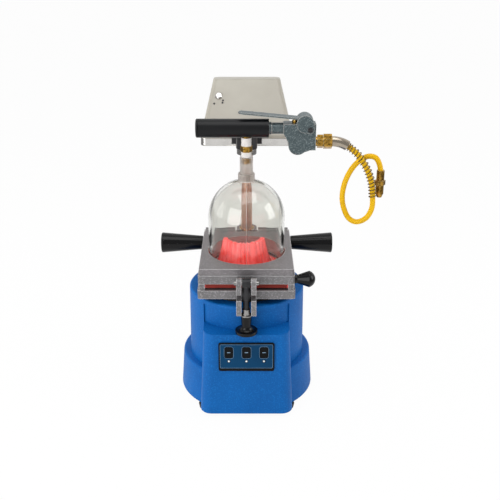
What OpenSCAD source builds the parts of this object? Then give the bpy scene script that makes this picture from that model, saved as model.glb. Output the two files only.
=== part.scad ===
// Bench-top thermoforming machine with a hand-held pressure pot standing in its clamp frame.
// The base holds a vacuum pump. A clamp frame with the plastic sheet slides on a rear post, a clear
// bell sits in the frame and is fed with compressed air through its handle, and a heater hood swings
// on the same post. Millimetres, +Z up, +Y to the rear. The origin is on the floor under the drum's axis.

/* [Base] */
// Height of the rubber feet
foot_h = 8; // [5:0.5:15]
// Radius of a rubber foot at its top
foot_r = 10; // [7:0.5:12]
// Height of the wide lower drum
lower_drum_h = 58; // [45:1:80]
// Radius of the lower drum at its bottom edge
lower_drum_r = 103; // [98:0.5:112]
// Draft of the lower drum: how much its radius shrinks over its height
lower_draft = 4; // [0:0.5:6]
// Height of the upper drum above the ledge
upper_drum_h = 109; // [95:1:140]
// Radius of the upper drum at the ledge
upper_drum_r = 88.5; // [84:0.5:92]
// Draft of the upper drum
upper_draft = 1.5; // [0:0.25:3]
// Wall of the moulded housing
housing_wall = 4; // [3:0.25:6]
// Rounding of the drums' top edges
drum_edge_r = 3.5; // [1:0.5:3.5]
// Width of the front console at the bottom
console_w = 138; // [128:1:146]
// Width lost by the console between its bottom and its top
console_taper = 12.6; // [4:0.2:16]
// Distance of the console's front from the drum's axis, at the bottom
console_front = 106.5; // [104:0.5:112]
// Lean of the console's front over its height
console_lean = 5.6; // [0:0.2:8]
// Height of the console
console_h = 130; // [120:1:140]
// Radius of the console's upright corners
console_corner_r = 17; // [8:0.5:22]
// Depth of the shallow panel sunk in the drum above the console
drum_recess = 2; // [1:0.25:3]
// Thickness of the bottom cover
bottom_plate_t = 3; // [2:0.5:5]
// Radius of the vacuum motor's can
motor_r = 48; // [35:1:55]
// Height of the vacuum motor's can
motor_h = 118; // [80:1:126]

/* [Forming platform] */
// Height of the seal that the clamp frame comes down on
platform_seal_h = 9; // [6:0.5:12]
// Radius of the perforated plate
platform_r = 54; // [45:0.5:54.5]
// Thickness of the perforated plate
platform_t = 6; // [5:0.5:7]
// Radius of one suction hole
suction_hole_r = 1.2; // [0.8:0.1:1.6]
// Rings of suction holes around the middle one
suction_rings = 3; // [1:1:3]

/* [Clamp frame] */
// Width of the lower frame
lower_frame_w = 141; // [137:1:150]
// Step from the lower frame's side in to the upper frame's
frame_step = 1; // [0:0.25:2]
// Step from the upper frame's side in to the locating plate's
ring_step = 1.5; // [0.5:0.25:3]
// Depth of the frames, front to back
frame_d = 155; // [150:1:164]
// Thickness of the lower frame
lower_frame_t = 13; // [10:0.5:18]
// Thickness of the upper frame
upper_frame_t = 13; // [12:0.5:18]
// Thickness of the locating plate
ring_t = 10; // [7:0.5:14]
// Radius of the frames' upright corners
frame_corner_r = 4; // [1:0.5:6]
// Radius of the hole in the lower frame
lower_hole_r = 56; // [55:0.5:57]
// Thickness of the gasket under the sheet
lower_gasket_t = 3; // [2:0.5:6]
// Thickness of the gasket on the sheet
upper_gasket_t = 2.5; // [2:0.5:6]
// Width of the plastic sheet
sheet_w = 127; // [126:0.5:127]
// Length of the plastic sheet, front to back
sheet_d = 137; // [132:0.5:138]
// Thickness of the plastic sheet
sheet_t = 4.5; // [3:0.25:5]
// Height of the formed arch above the sheet
arch_h = 38; // [20:1:44]
// Radius of the formed arch along the middle of its crest
arch_r = 33; // [30:0.5:34]
// Angle that the formed arch sweeps
arch_sweep = 110; // [100:1:120]
// Width of the formed arch where it leaves the sheet
arch_foot_w = 27.5; // [24:0.5:28]
// Width of the formed arch along its crest
arch_crest_w = 9; // [8.5:0.5:12]
// Bumps along the crest of the formed arch
arch_bumps = 13; // [7:1:15]
// Place of the formed arch to the right of the bell's axis
arch_x = -4; // [-6:0.5:6]
// Place of the centre of the formed arch behind the bell's axis
arch_y = 28; // [24:0.5:29]

/* [Post and grips] */
// Distance of the post behind the drum's axis
post_y = 97; // [96:0.5:102]
// Radius of the post
post_r = 9.5; // [7:0.25:10.5]
// Length of a side grip
grip_l = 66; // [50:1:90]
// Radius of a side grip at the frame
grip_inner_r = 10.7; // [8:0.25:13]
// Radius of a side grip at its free end
grip_outer_r = 16; // [12:0.25:20]
// Length of the lifting knob
lift_knob_l = 30; // [24:1:40]
// Largest radius of the lifting knob
lift_knob_r = 12; // [10:0.25:15]

/* [Latch] */
// Distance of the swing bolt in front of the drum's axis
latch_y = 103.5; // [103:0.5:108]
// Radius of the swing bolt's shank
bolt_r = 4.5; // [3:0.25:5]
// Radius of the pin that the bolt swings on
latch_pin_r = 3; // [2:0.25:3.5]
// Thickness of one ear of the forks
ear_t = 7; // [5:0.5:9]
// Width of the slot between the ears
fork_slot_w = 14; // [13:0.25:16]
// Drop of the lower ears below the lower frame
ear_drop = 11; // [8:0.5:16]
// Height of the clamp knob
clamp_knob_h = 27; // [20:0.5:28]
// Radius of the clamp knob's neck
clamp_neck_r = 7.8; // [7:0.1:9]
// Radius of the clamp knob's flange
clamp_flange_r = 16; // [12:0.25:16.5]

/* [Bell] */
// Outer radius of the clear bell
dome_r = 56.7; // [50:0.1:57]
// Wall of the bell
dome_wall = 4; // [3:0.25:6]
// Height of the bell's straight wall
dome_wall_h = 77; // [60:0.5:90]
// Thickness of the rim seal
rim_seal_t = 1.5; // [1.5:0.25:3]
// Radius of the neck tube
neck_r = 9.5; // [9:0.1:11]
// Height of the neck tube above the bell's crown
neck_h = 34; // [26:0.5:45]
// Radius of the collar at the neck's foot
collar_r = 12.2; // [11.5:0.1:16]
// Height of the collar above the bell's crown
collar_h = 10; // [6:0.5:14]
// Radius of the nipple's thread
nipple_r = 6.6; // [5:0.1:7]
// Width of the nipple's hexagon across its flats
nipple_af = 15; // [14.5:0.25:19]
// Height of the nipple's hexagon
nipple_hex_h = 8.5; // [6:0.5:12]
// Height of the wrapped thread below the hexagon
tape_low_h = 8; // [4:0.5:12]
// Height of the wrapped thread above the hexagon
tape_high_h = 12; // [6:0.5:16]

/* [Handle and valve] */
// Radius of the black grip bar
bar_r = 13.5; // [12:0.25:15]
// Length of the bar to the left of the bell's axis
bar_left = 68; // [50:1:90]
// Length of the bar to the right of the bell's axis
bar_right = 32; // [24:1:40]
// Length of the valve body
valve_l = 40; // [36:0.5:46]
// Length of the valve's neck between the bar and the body
valve_neck_l = 38.5; // [34:0.5:44]
// Thickness of the cast valve body
valve_t = 22; // [20:0.5:26]
// Distance of the hose port below the bar's axis
port_drop = 19; // [17:0.5:20]
// Radius of the valve's plunger
plunger_r = 4.4; // [3:0.1:5]
// Sheet thickness of the lever
lever_t = 2.6; // [2:0.1:3]
// Reach of the lever to the left of its pivot
lever_reach = 112; // [80:1:120]
// Upward slope of the released lever, in degrees
lever_slope = 5.5; // [5:0.25:8]

/* [Hose] */
// Radius of the hose
hose_r = 4; // [3:0.1:4.4]
// Radius of the spring guard at the middle of its wire
guard_r = 5.4; // [5.3:0.1:6]
// Radius of the guard's wire
guard_wire_r = 0.7; // [0.5:0.05:0.8]
// Turns of the spring guard
guard_turns = 17; // [12:1:18]
// Radius of the bent hose sleeve
sleeve_r = 7.4; // [7:0.1:8]
// Bend of the hose sleeve, in degrees
sleeve_bend = 33; // [20:1:38]

/* [Heater] */
// Height of the heater's open mouth above the floor
hood_z = 357; // [350:1:380]
// Width of the heater hood
hood_w = 146; // [130:1:150]
// Depth of the heater hood
hood_d = 142; // [134:1:150]
// Distance of the hood from the post's axis
hood_gap = 26; // [24:0.5:30]
// Height of the hood's upright rim
hood_rim_h = 16; // [15:0.5:24]
// Height of the hood's sloping part
hood_slope_h = 79; // [60:1:84]
// Width lost on each side over the sloping part
hood_side_in = 19; // [10:0.5:30]
// Depth lost at the front and at the back over the sloping part
hood_end_in = 60; // [30:0.5:61]
// Sheet thickness of the hood
hood_t = 2; // [1.5:0.25:3]
// Radius of the heater rod
element_r = 3; // [2:0.25:4]
// Straight runs of the heater rod
element_runs = 5; // [3:2:5]

/* [Controls] */
// Width of the control panel
panel_w = 81; // [76:0.5:90]
// Height of the control panel
panel_h = 45; // [42:0.5:50]
// Thickness of the control panel
panel_t = 2.5; // [2:0.25:4]
// Height of the panel's middle above the floor
panel_z = 103.5; // [95:0.5:108]
// Width of a button
button_w = 12; // [9:0.5:15]
// Height of a button
button_h = 17.5; // [12:0.5:19]
// Spacing of the buttons
button_pitch = 25.5; // [22:0.5:27]
// Travel of a button
button_travel = 1.2; // [0.6:0.1:1.5]
// Radius of an indicator lamp
lamp_r = 2.2; // [1.5:0.1:3]

/* [Hidden] */
$fn = 64;
// Clearance of a fit between fixed pieces
fit = 0.05;
// Clearance of a running fit
running = 0.06;
// Gap between pieces that move past each other
gap = 0.3;
// Overshoot of a cut past the face that it leaves by
past = 1;

// Levels of the stack, from the floor to the bar
base_z = foot_h;
ledge_z = base_z + lower_drum_h;
drum_top_z = ledge_z + upper_drum_h;
console_top_z = base_z + console_h;
frame_z = drum_top_z + platform_seal_h;
lower_top_z = frame_z + lower_frame_t;
sheet_z = lower_top_z + lower_gasket_t;
sheet_top_z = sheet_z + sheet_t;
upper_z = sheet_top_z + upper_gasket_t;
ring_z = upper_z + upper_frame_t;
ring_top_z = ring_z + ring_t;
rim_z = sheet_top_z + rim_seal_t;
dome_centre_z = rim_z + dome_wall_h;
crown_z = dome_centre_z + dome_r;
neck_top_z = crown_z + neck_h;
hex_z = neck_top_z + tape_low_h;
hex_top_z = hex_z + nipple_hex_h;
bar_bottom_z = hex_top_z + tape_high_h;
bar_z = bar_bottom_z + bar_r;

// Radii and reaches shared by neighbours
lower_top_r = lower_drum_r - lower_draft;
upper_top_r = upper_drum_r - upper_draft;
console_top_half = (console_w - console_taper) / 2;
frame_front = frame_d / 2;
upper_frame_w = lower_frame_w - 2 * frame_step;
upper_frame_d = frame_d - frame_step;
ring_w = upper_frame_w - 2 * ring_step;
ring_d = upper_frame_d - 2 * ring_step + frame_step;
ring_hole_r = dome_r + 1.3;
gasket_in_r = ring_hole_r + 1;
gasket_out_r = sheet_w / 2 - 0.3;
seal_in_r = platform_r + 4;
seal_out_r = lower_frame_w / 2 - 0.5;
lean_angle = atan(console_lean / console_h);

// Base details
post_boss_r = post_r + 6.5;
post_foot_z = base_z + bottom_plate_t + gap;
plate_r = lower_drum_r - housing_wall - gap;
plate_tab_half = console_w / 2 - housing_wall - 0.5;
plate_tab_front = console_front - housing_wall - 0.5;
foot_x = console_w / 2 - 6;
foot_front_y = -76;
foot_rear_y = 66;
screw_boss_r = 6;
screw_ring_r = lower_top_r - housing_wall - screw_boss_r + 1.5;
screw_angles = [28, 152, 208, 332];
screw_r = 2;
screw_l = 18;
screw_head_h = 2;
duct_r = 14;
mount_ring_h = 9;
motor_z = base_z + bottom_plate_t + mount_ring_h;
motor_top_z = motor_z + motor_h;
drum_roof_z = drum_top_z - housing_wall;
gland_x = -45;
gland_z = base_z + 26;
gland_bore_r = 4;
gland_l = 16;
vent_w = 4;
vent_h = 40;
vent_x = [28, 36, 44, 52];

// Rear end of the clamp frame
hinge_y = frame_front + 7;
hinge_z = ring_z + 6;
hinge_pin_r = 3;
hinge_lug_r = 6.5;
hinge_lug_x = 58;
hinge_lug_w = 8;
knuckle_w = 38;
lug_root = 4;
sheet_corner_r = 5;
bump_h = 2;
bush_wall = 3.5;
guide_half = post_r + bush_wall + 5;
guide_h = ring_top_z - frame_z - 2;
grip_y = 68;
grip_z = upper_z + upper_frame_t / 2;
grip_stud_r = 4;
grip_stud_in = 40;
lift_knob_y = -66;
lift_knob_z = upper_z + 3.5;
lift_stud_r = 3;
lift_stud_l = 13;
lift_stud_root = 8;
lift_cap_h = 9;
grip_stud_root = 10;
plate_screw_r = 2.5;
plate_head_r = 4;
plate_head_h = 2.6;
plate_pocket_h = 3;
plate_screw_in = 6;

// Latch
ear_in = fork_slot_w / 2;
ear_out = ear_in + ear_t;
ear_front = latch_y + 7.5;
latch_pin_z = ring_top_z - 9;
ear_bottom_z = frame_z - ear_drop;
ear_clear = 1;
pin_lug_r = ear_front - latch_y;
pin_root_h = 9;
pin_over = 3.5;
slot_in = 8;
stop_w = 8.5;
stop_d = 1.6;
swing_r = latch_pin_z - ear_bottom_z;
eye_r = latch_pin_r + 4;
eye_w = fork_slot_w - 2;
washer_t = 1.6;
washer_r = 8.4;
washer_z = ear_bottom_z - gap - washer_t;
clamp_collar_r = bolt_r + 1.3;
knob_top_z = washer_z;
knob_z = knob_top_z - clamp_knob_h;
clamp_flange_t = 4.5;
clamp_flare_r = 7;
bolt_end_z = knob_z + 6;
knob_bore = 5.5;
collar_sleeve_h = 9;

// Handle and valve
bar_bore_r = 5;
bar_cap_t = 4;
bar_flat = 1.6;
socket_depth = 12;
valve_neck_r = 8;
valve_x = bar_right + valve_neck_l - socket_depth;
valve_end_x = valve_x + valve_l;
valve_top_z = bar_z + valve_neck_r;
port_z = bar_z - port_drop;
lobe_r = 13.3;
lobe_x = valve_x + 14.5;
lobe_z = port_z - 4;
pivot_x = valve_end_x - 8.5;
pivot_z = bar_z + 0.5;
pivot_r = 2.5;
plunger_x = pivot_x - 21;
plunger_top_z = valve_top_z + 4.8;
plunger_z = plunger_top_z - 26;
spring_h = 6;
hump_r = 12.4;
hump_x = pivot_x - 7;
hump_z = valve_top_z + gap;
cheek_t = 2.2;
cheek_in = valve_t / 2 + gap;
lever_half = cheek_in + cheek_t;
web_half = 8;

// Hose fittings and the route of the hose from the end of its sleeve
nut_af = 17;
nut_l = 9;
swivel_af = 19;
swivel_l = 12;
stub_l = 2.5;
nut_x = valve_end_x + stub_l;
swivel_x = nut_x + nut_l;
sleeve_x = swivel_x + swivel_l;
sleeve_bend_r = 42;
sleeve_end = [sleeve_x + sleeve_bend_r * sin(sleeve_bend), 0,
              port_z - sleeve_bend_r * (1 - cos(sleeve_bend))];
hose_route = [for (p = [[0, 0, 0], [15, -3, -12], [28, -7, -31], [36, -9, -52], [39, -9, -73], [39, -8, -92],
                        [32, -5, -108], [19, 0, -116], [7, 4, -111], [-1, 7, -94], [-3, 9, -76], [1, 10, -55],
                        [10, 10, -36], [21, 10, -24], [32, 9, -18], [43, 8, -20], [49, 7, -30], [51, 6, -41],
                        [51, 6, -50]])
              sleeve_end + p];
hose_sides = 10;
hose_steps = 3;
guard_span = 4;
guard_rings = 8;
guard_sides = 6;
plug_hex_af = 14;
plug_nose_r = 5.9;
plug_nose_l = 14;
ferrule_l = 14;
plug_tip_l = 5;
plug_hex_z = 3;
plug_hex_h = 7;
plug_nose_z = plug_hex_z + plug_hex_h;

// Heater
hood_front_y = post_y + hood_gap;
hood_mid_y = hood_front_y + hood_d / 2;
hood_slope_z = hood_z + hood_rim_h;
hood_top_z = hood_slope_z + hood_slope_h;
hood_corner_r = 8;
swivel_z = hood_z + 4;
swivel_h = 26;
swivel_r = post_r + 7;
stop_h = 9;
post_top_z = swivel_z + swivel_h + 3;
cap_h = 7;
reflector_t = 1.5;
reflector_z = hood_slope_z - reflector_t;
element_z = reflector_z - 9;
element_pitch = 22;
element_run_l = 92;
insulator_r = 4;
flange_half = 24;
flange_t = 3;
arm_half = 10;
arm_h = hood_rim_h - 5;

// Control panel, placed by its middle on the leaning front of the console
panel_corner_r = 3;
console_front_at_panel = console_front - console_lean * (panel_z - base_z) / console_h;
button_up = 7.5;
lamp_down = 6.5;
button_proud = 1.1;
button_root = 1.2;
board_t = 1.6;
board_z = -6;
panel_land = 5;
opening_w = panel_w - 2 * panel_land;
opening_h = panel_h - 2 * panel_land + 2;

// Shapes used by several pieces

module rounded_rect(w, d, r) {
    square([w - 2 * r, d], center = true);
    square([w, d - 2 * r], center = true);
    for (x = [-1, 1], y = [-1, 1])
        translate([x * (w / 2 - r), y * (d / 2 - r)]) circle(r);
}

module slab(w, d, h, r) {
    linear_extrude(h) rounded_rect(w, d, r);
}

module ring(outer, inner, h) {
    difference() {
        cylinder(r = outer, h = h);
        translate([0, 0, -past]) cylinder(r = inner, h = h + 2 * past);
    }
}

module hexagon(af, h) {
    cylinder(r = af / sqrt(3), h = h, $fn = 6);
}

// Lies along +X from the given point
module along_x(x, y, z) {
    translate([x, y, z]) rotate([0, 90, 0]) children();
}

// Lies along +Y from the given point
module along_y(x, y, z) {
    translate([x, y, z]) rotate([-90, 0, 0]) children();
}

module mirror_copy() {
    children();
    mirror([1, 0, 0]) children();
}

// Half section of a drum with a drawn side and a rounded top edge
module drum_section(r_low, r_high, h, edge) {
    polygon([[0, 0], [r_low, 0], [r_high, h - edge], [r_high - edge, h - edge], [r_high - edge, h], [0, h]]);
    translate([r_high - edge, h - edge]) circle(edge);
}

// Base

module console_block(inset, z_low, z_high) {
    function half_at(z) = (console_w - console_taper * (z - base_z) / console_h) / 2 - inset;
    function front_at(z) = console_front - console_lean * (z - base_z) / console_h - inset;
    corner = max(console_corner_r - inset, 2);
    hull()
        for (s = [-1, 1], z = [z_low, z_high])
            translate([0, 0, z == z_high ? z - 0.01 : z]) {
                translate([s * (half_at(z) - corner), corner - front_at(z), 0])
                    cylinder(r = corner, h = 0.01, $fn = 40);
                translate([s * (half_at(z) - 1), -1, 0]) cylinder(r = 1, h = 0.01, $fn = 16);
            }
}

module drum_recess_cut() {
    recess_z = console_top_z;
    recess_top = drum_top_z - 2 * drum_edge_r;
    intersection() {
        translate([0, 0, recess_z])
            ring(upper_drum_r + 2 * past, upper_top_r - drum_recess, recess_top - recess_z);
        translate([-console_top_half, -upper_drum_r - 3 * past, recess_z])
            cube([2 * console_top_half, upper_drum_r, recess_top - recess_z]);
    }
}

module base_housing() color("royalblue") {
    difference() {
        union() {
            difference() {
                union() {
                    translate([0, 0, base_z]) rotate_extrude()
                        drum_section(lower_drum_r, lower_top_r, lower_drum_h, drum_edge_r);
                    translate([0, 0, base_z]) rotate_extrude()
                        drum_section(upper_drum_r, upper_top_r, drum_top_z - base_z, drum_edge_r);
                    console_block(0, base_z, console_top_z);
                }
                translate([0, 0, base_z - past])
                    cylinder(r1 = lower_drum_r - housing_wall, r2 = lower_top_r - housing_wall,
                             h = lower_drum_h - housing_wall + past);
                translate([0, 0, base_z - past])
                    cylinder(r = upper_top_r - housing_wall, h = drum_roof_z - base_z + past);
                console_block(housing_wall, base_z - past, console_top_z - housing_wall);
                drum_recess_cut();
            }
            translate([0, post_y, post_foot_z]) cylinder(r = post_boss_r, h = drum_top_z - post_foot_z);
            for (a = screw_angles)
                rotate(a) translate([screw_ring_r, 0, base_z + bottom_plate_t])
                    cylinder(r = screw_boss_r, h = ledge_z - base_z - bottom_plate_t - housing_wall / 2);
        }
        translate([0, post_y, post_foot_z + housing_wall])
            cylinder(r = post_r + fit, h = drum_top_z);
        translate([0, 0, drum_roof_z - past]) cylinder(r = duct_r, h = housing_wall + 2 * past);
        for (a = screw_angles)
            rotate(a) translate([screw_ring_r, 0, base_z])
                cylinder(r = screw_r + fit, h = screw_l + 2 * screw_r);
        along_y(gland_x, 0, gland_z) cylinder(r = gland_bore_r + 4 + fit, h = lower_drum_r);
        for (x = vent_x, s = [-1, 1])
            translate([s * x - vent_w / 2, 0, ledge_z + 25]) cube([vent_w, upper_drum_r, vent_h]);
        on_console() translate([0, 0, -3 * housing_wall])
            slab(opening_w, opening_h, 3 * housing_wall + past, panel_corner_r);
    }
}

module bottom_plate() color("dimgray")
    difference() {
        union() {
            translate([0, 0, base_z]) cylinder(r = plate_r, h = bottom_plate_t);
            translate([-plate_tab_half, -plate_tab_front, base_z])
                linear_extrude(bottom_plate_t) translate([plate_tab_half, plate_tab_front / 2])
                    rounded_rect(2 * plate_tab_half, plate_tab_front, console_corner_r - housing_wall);
        }
        for (a = screw_angles)
            rotate(a) translate([screw_ring_r, 0, base_z - past])
                cylinder(r = screw_r + fit, h = bottom_plate_t + 2 * past);
    }

module bottom_screws() color("silver")
    for (a = screw_angles)
        rotate(a) translate([screw_ring_r, 0, base_z]) {
            translate([0, 0, -screw_head_h]) cylinder(r = 2 * screw_r, h = screw_head_h);
            cylinder(r = screw_r, h = screw_l);
        }

module base_feet() color("black")
    for (x = [-foot_x, foot_x], y = [foot_front_y, foot_rear_y])
        translate([x, y, 0]) cylinder(r1 = foot_r - 1.5, r2 = foot_r, h = foot_h);

module motor_mount() color("black")
    translate([0, 0, base_z + bottom_plate_t]) ring(motor_r - 2, motor_r - 14, mount_ring_h);

module vacuum_motor() color("lightsteelblue") {
    can_h = motor_h * 0.55;
    translate([0, 0, motor_z]) {
        cylinder(r = motor_r, h = can_h);
        translate([0, 0, can_h]) cylinder(r = motor_r + 8, h = motor_h - can_h - 8);
        translate([0, 0, motor_h - 8]) cylinder(r = 2 * duct_r, h = 8);
        for (a = [0:30:330])
            rotate(a) translate([motor_r - 1, -2, 8]) cube([4, 4, can_h - 8]);
    }
}

module motor_seal() color("black")
    translate([0, 0, motor_top_z]) ring(2 * duct_r, duct_r, drum_roof_z - motor_top_z);

module vacuum_plate() color("silver")
    difference() {
        translate([0, 0, drum_top_z]) cylinder(r = platform_r, h = platform_t);
        translate([0, 0, drum_top_z - past]) cylinder(r = platform_r - 6, h = platform_t / 2 + past);
        translate([0, 0, drum_top_z]) {
            cylinder(r = suction_hole_r, h = platform_t + past);
            for (k = [1:suction_rings], i = [0:6 * k - 1])
                rotate(i * 60 / k) translate([k * (platform_r - 10) / suction_rings, 0, 0])
                    cylinder(r = suction_hole_r, h = platform_t + past);
        }
    }

module platform_seal() color("black")
    translate([0, 0, drum_top_z]) ring(seal_out_r, seal_in_r, platform_seal_h);

module cord_gland() color("black") {
    wall_y = sqrt(pow(lower_drum_r - lower_draft / 2, 2) - gland_x * gland_x);
    difference() {
        union() {
            along_y(gland_x, wall_y - 14, gland_z) cylinder(r = gland_bore_r + 4, h = 16);
            along_y(gland_x, wall_y + 1.5, gland_z)
                cylinder(r1 = gland_bore_r + 4, r2 = gland_bore_r + 2, h = gland_l);
        }
        along_y(gland_x, wall_y - 14 - past, gland_z) cylinder(r = gland_bore_r, h = 14 + gland_l + 4);
    }
}

module slide_post() color("peru")
    translate([0, post_y, post_foot_z + housing_wall])
        cylinder(r = post_r, h = post_top_z - post_foot_z - housing_wall);

module post_cap() color("black")
    translate([0, post_y, post_top_z]) rotate_extrude() {
        square([post_r + 2 - cap_h / 2, cap_h]);
        square([post_r + 2, cap_h / 2]);
        translate([post_r + 2 - cap_h / 2, cap_h / 2]) circle(cap_h / 2);
    }

module swivel_stop() color("silver")
    translate([0, post_y, swivel_z - gap - stop_h]) ring(swivel_r - 1, post_r + fit, stop_h);

// Control panel: +X right, +Y up the console's face, +Z out of it, origin at the panel's middle

module on_console() {
    translate([0, -console_front_at_panel, panel_z]) rotate([90 - lean_angle, 0, 0]) children();
}

module control_panel() color("black")
    on_console() difference() {
        slab(panel_w, panel_h, panel_t, panel_corner_r);
        for (i = [-1:1]) translate([i * button_pitch, 0, -past]) {
            translate([0, button_up, 0])
                slab(button_w + 2 * gap, button_h + 2 * gap, panel_t + 2 * past, 3 + gap);
            translate([0, -lamp_down, 0]) cylinder(r = lamp_r + fit, h = panel_t + 2 * past);
        }
    }

module button(i) color("black")
    on_console() translate([i * button_pitch, button_up, -button_root])
        slab(button_w, button_h, button_root + panel_t + button_proud, 3);

module button_left() button(-1);
module button_centre() button(0);
module button_right() button(1);

module indicator_lamps() color("white")
    on_console() for (i = [-1:1])
        translate([i * button_pitch, -lamp_down, 0]) cylinder(r = lamp_r, h = panel_t + 0.6);

module control_board() color("darkgreen")
    on_console() {
        translate([0, 0, board_z]) slab(opening_w - 4, opening_h - 4, board_t, 1);
        for (i = [-1:1]) translate([i * button_pitch, button_up, board_z + board_t])
            cylinder(r = 3, h = -board_z - board_t - button_root - button_travel - 0.2);
        for (x = [-1, 1], y = [-1, 1])
            translate([x * button_pitch / 2, y * (opening_h / 2 - 5), board_z + board_t])
                cylinder(r = 2.2, h = -board_z - board_t);
    }

// Clamp frame

// One pair of ears that reach forward to the swing bolt
module fork_ears(z_low, z_high) {
    mirror_copy()
        translate([ear_in, -ear_front, z_low]) cube([ear_t, ear_front - frame_front + past, z_high - z_low]);
}

// Pair of round lugs for the bolt's pin, on roots that reach back into the upper frame
module pin_lugs()
    mirror_copy() hull() {
        along_x(ear_in, -latch_y, latch_pin_z) cylinder(r = pin_lug_r, h = ear_t);
        translate([ear_in, -ear_front, upper_z - 1])
            cube([ear_t, ear_front - frame_front + past, pin_root_h]);
    }

module lower_frame() color("darkgray")
    difference() {
        union() {
            translate([0, 0, frame_z]) slab(lower_frame_w, frame_d, lower_frame_t, frame_corner_r);
            intersection() {
                fork_ears(ear_bottom_z, lower_top_z);
                along_x(-ear_out - past, -latch_y, latch_pin_z)
                    cylinder(r = swing_r, h = 2 * (ear_out + past));
            }
            translate([-guide_half, frame_front - past, frame_z])
                cube([2 * guide_half, post_y - frame_front + past, lower_frame_t]);
            translate([0, post_y, frame_z]) cylinder(r = guide_half, h = guide_h);
            mirror_copy() hinge_lug(hinge_lug_x, hinge_lug_w, frame_z, lower_top_z);
            mirror_copy()
                translate([lower_frame_w / 2 - stop_w - frame_corner_r / 2, frame_corner_r / 2 - frame_front,
                           frame_z])
                    cube([stop_w, stop_d, upper_z - gap - frame_z]);
        }
        translate([0, 0, frame_z - past]) cylinder(r = lower_hole_r, h = lower_frame_t + 2 * past);
        translate([0, post_y, frame_z - past])
            cylinder(r = post_r + running + bush_wall + fit, h = guide_h + 2 * past);
        translate([-ear_in, -frame_front - past, frame_z - past])
            cube([2 * ear_in, slot_in + past, lower_frame_t + 2 * past]);
        translate([0, 0, ear_bottom_z - past])
            cylinder(r = upper_drum_r + ear_clear, h = frame_z - ear_bottom_z + past);
        along_x(-hinge_lug_x - 2 * hinge_lug_w, hinge_y, hinge_z)
            cylinder(r = hinge_pin_r + fit, h = 2 * (hinge_lug_x + 2 * hinge_lug_w));
    }

// Upright lug with a round top for the hinge pin, on a foot that reaches into its frame
module hinge_lug(x, w, z_low, foot_top_z) {
    along_x(x, hinge_y, hinge_z) cylinder(r = hinge_lug_r, h = w);
    translate([x, hinge_y - hinge_lug_r, z_low]) cube([w, 2 * hinge_lug_r, hinge_z - z_low]);
    translate([x, frame_front - lug_root, z_low])
        cube([w, hinge_y - frame_front + lug_root, foot_top_z - z_low]);
}

module upper_frame() color("darkgray")
    difference() {
        union() {
            translate([0, 0, upper_z]) slab(upper_frame_w, upper_frame_d, upper_frame_t, frame_corner_r);
            pin_lugs();
            mirror_copy() hinge_lug(hinge_lug_x - knuckle_w - gap, knuckle_w, upper_z, ring_z);
        }
        translate([0, 0, upper_z - past]) cylinder(r = gasket_in_r, h = upper_frame_t + 2 * past);
        along_x(-ear_out - past, -latch_y, latch_pin_z)
            cylinder(r = latch_pin_r + fit, h = 2 * (ear_out + past));
        along_x(-hinge_lug_x - past, hinge_y, hinge_z)
            cylinder(r = hinge_pin_r + fit, h = 2 * (hinge_lug_x + past));
        mirror_copy() along_x(upper_frame_w / 2 - grip_stud_root, grip_y, grip_z)
            cylinder(r = grip_stud_r + fit, h = grip_stud_root + past);
        along_x(upper_frame_w / 2 - lift_stud_root, lift_knob_y, lift_knob_z)
            cylinder(r = lift_stud_r + fit, h = lift_stud_root + past);
        at_plate_screws(upper_z - past) {
            cylinder(r = plate_head_r + gap / 2, h = plate_pocket_h + past);
            cylinder(r = plate_screw_r + fit, h = upper_frame_t + 2 * past);
        }
    }

module locating_plate() color("silver")
    difference() {
        translate([0, 0, ring_z]) slab(ring_w, ring_d, ring_t, frame_corner_r);
        translate([0, 0, ring_z - past]) cylinder(r = ring_hole_r, h = ring_t + 2 * past);
        at_plate_screws(ring_z - past) cylinder(r = plate_screw_r + fit, h = plate_screw_in + 2 * past);
    }

// Four screws that hold the locating plate from below
module plate_screws() color("dimgray")
    at_plate_screws(upper_z + plate_pocket_h) difference() {
        union() {
            translate([0, 0, -plate_head_h]) cylinder(r = plate_head_r, h = plate_head_h);
            cylinder(r = plate_screw_r, h = upper_frame_t - plate_pocket_h + plate_screw_in);
        }
        translate([0, 0, -plate_head_h - past]) hexagon(plate_head_r, plate_head_h / 2 + past);
    }

// Places its child at the four screws of the locating plate
module at_plate_screws(z)
    for (x = [-1, 1], y = [-1, 1])
        translate([x * (ring_w / 2 - 14), y * (frame_front - 12), z]) children();

module frame_hinge_pins() color("silver")
    mirror_copy() along_x(hinge_lug_x - knuckle_w - gap - 2, hinge_y, hinge_z)
        cylinder(r = hinge_pin_r, h = knuckle_w + hinge_lug_w + gap + 4);

module slide_bushing() color("goldenrod")
    translate([0, post_y, frame_z])
        ring(post_r + running + bush_wall, post_r + running, guide_h);

module lower_gasket() color("dimgray")
    translate([0, 0, lower_top_z]) ring(gasket_out_r, lower_hole_r, lower_gasket_t);

module upper_gasket() color("dimgray")
    translate([0, 0, sheet_top_z]) ring(gasket_out_r, gasket_in_r, upper_gasket_t);

// Curved ridge with sloping walls and round ends, shrunk on every side by the inset
module arch(inset, z_low) {
    low_half = arch_foot_w / 2 - inset;
    high_half = arch_crest_w / 2 - inset;
    z_high = arch_h - inset;
    module half_section() polygon([[0, z_low], [low_half, z_low], [high_half, z_high], [0, z_high]]);
    rotate(270 - arch_sweep / 2) rotate_extrude(angle = arch_sweep)
        polygon([[arch_r - low_half, z_low], [arch_r + low_half, z_low],
                 [arch_r + high_half, z_high], [arch_r - high_half, z_high]]);
    rotate(270 + arch_sweep / 2) translate([arch_r, 0, 0]) rotate_extrude(angle = 180) half_section();
    rotate(90 - arch_sweep / 2) translate([-arch_r, 0, 0]) rotate_extrude(angle = 180) half_section();
}

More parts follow.
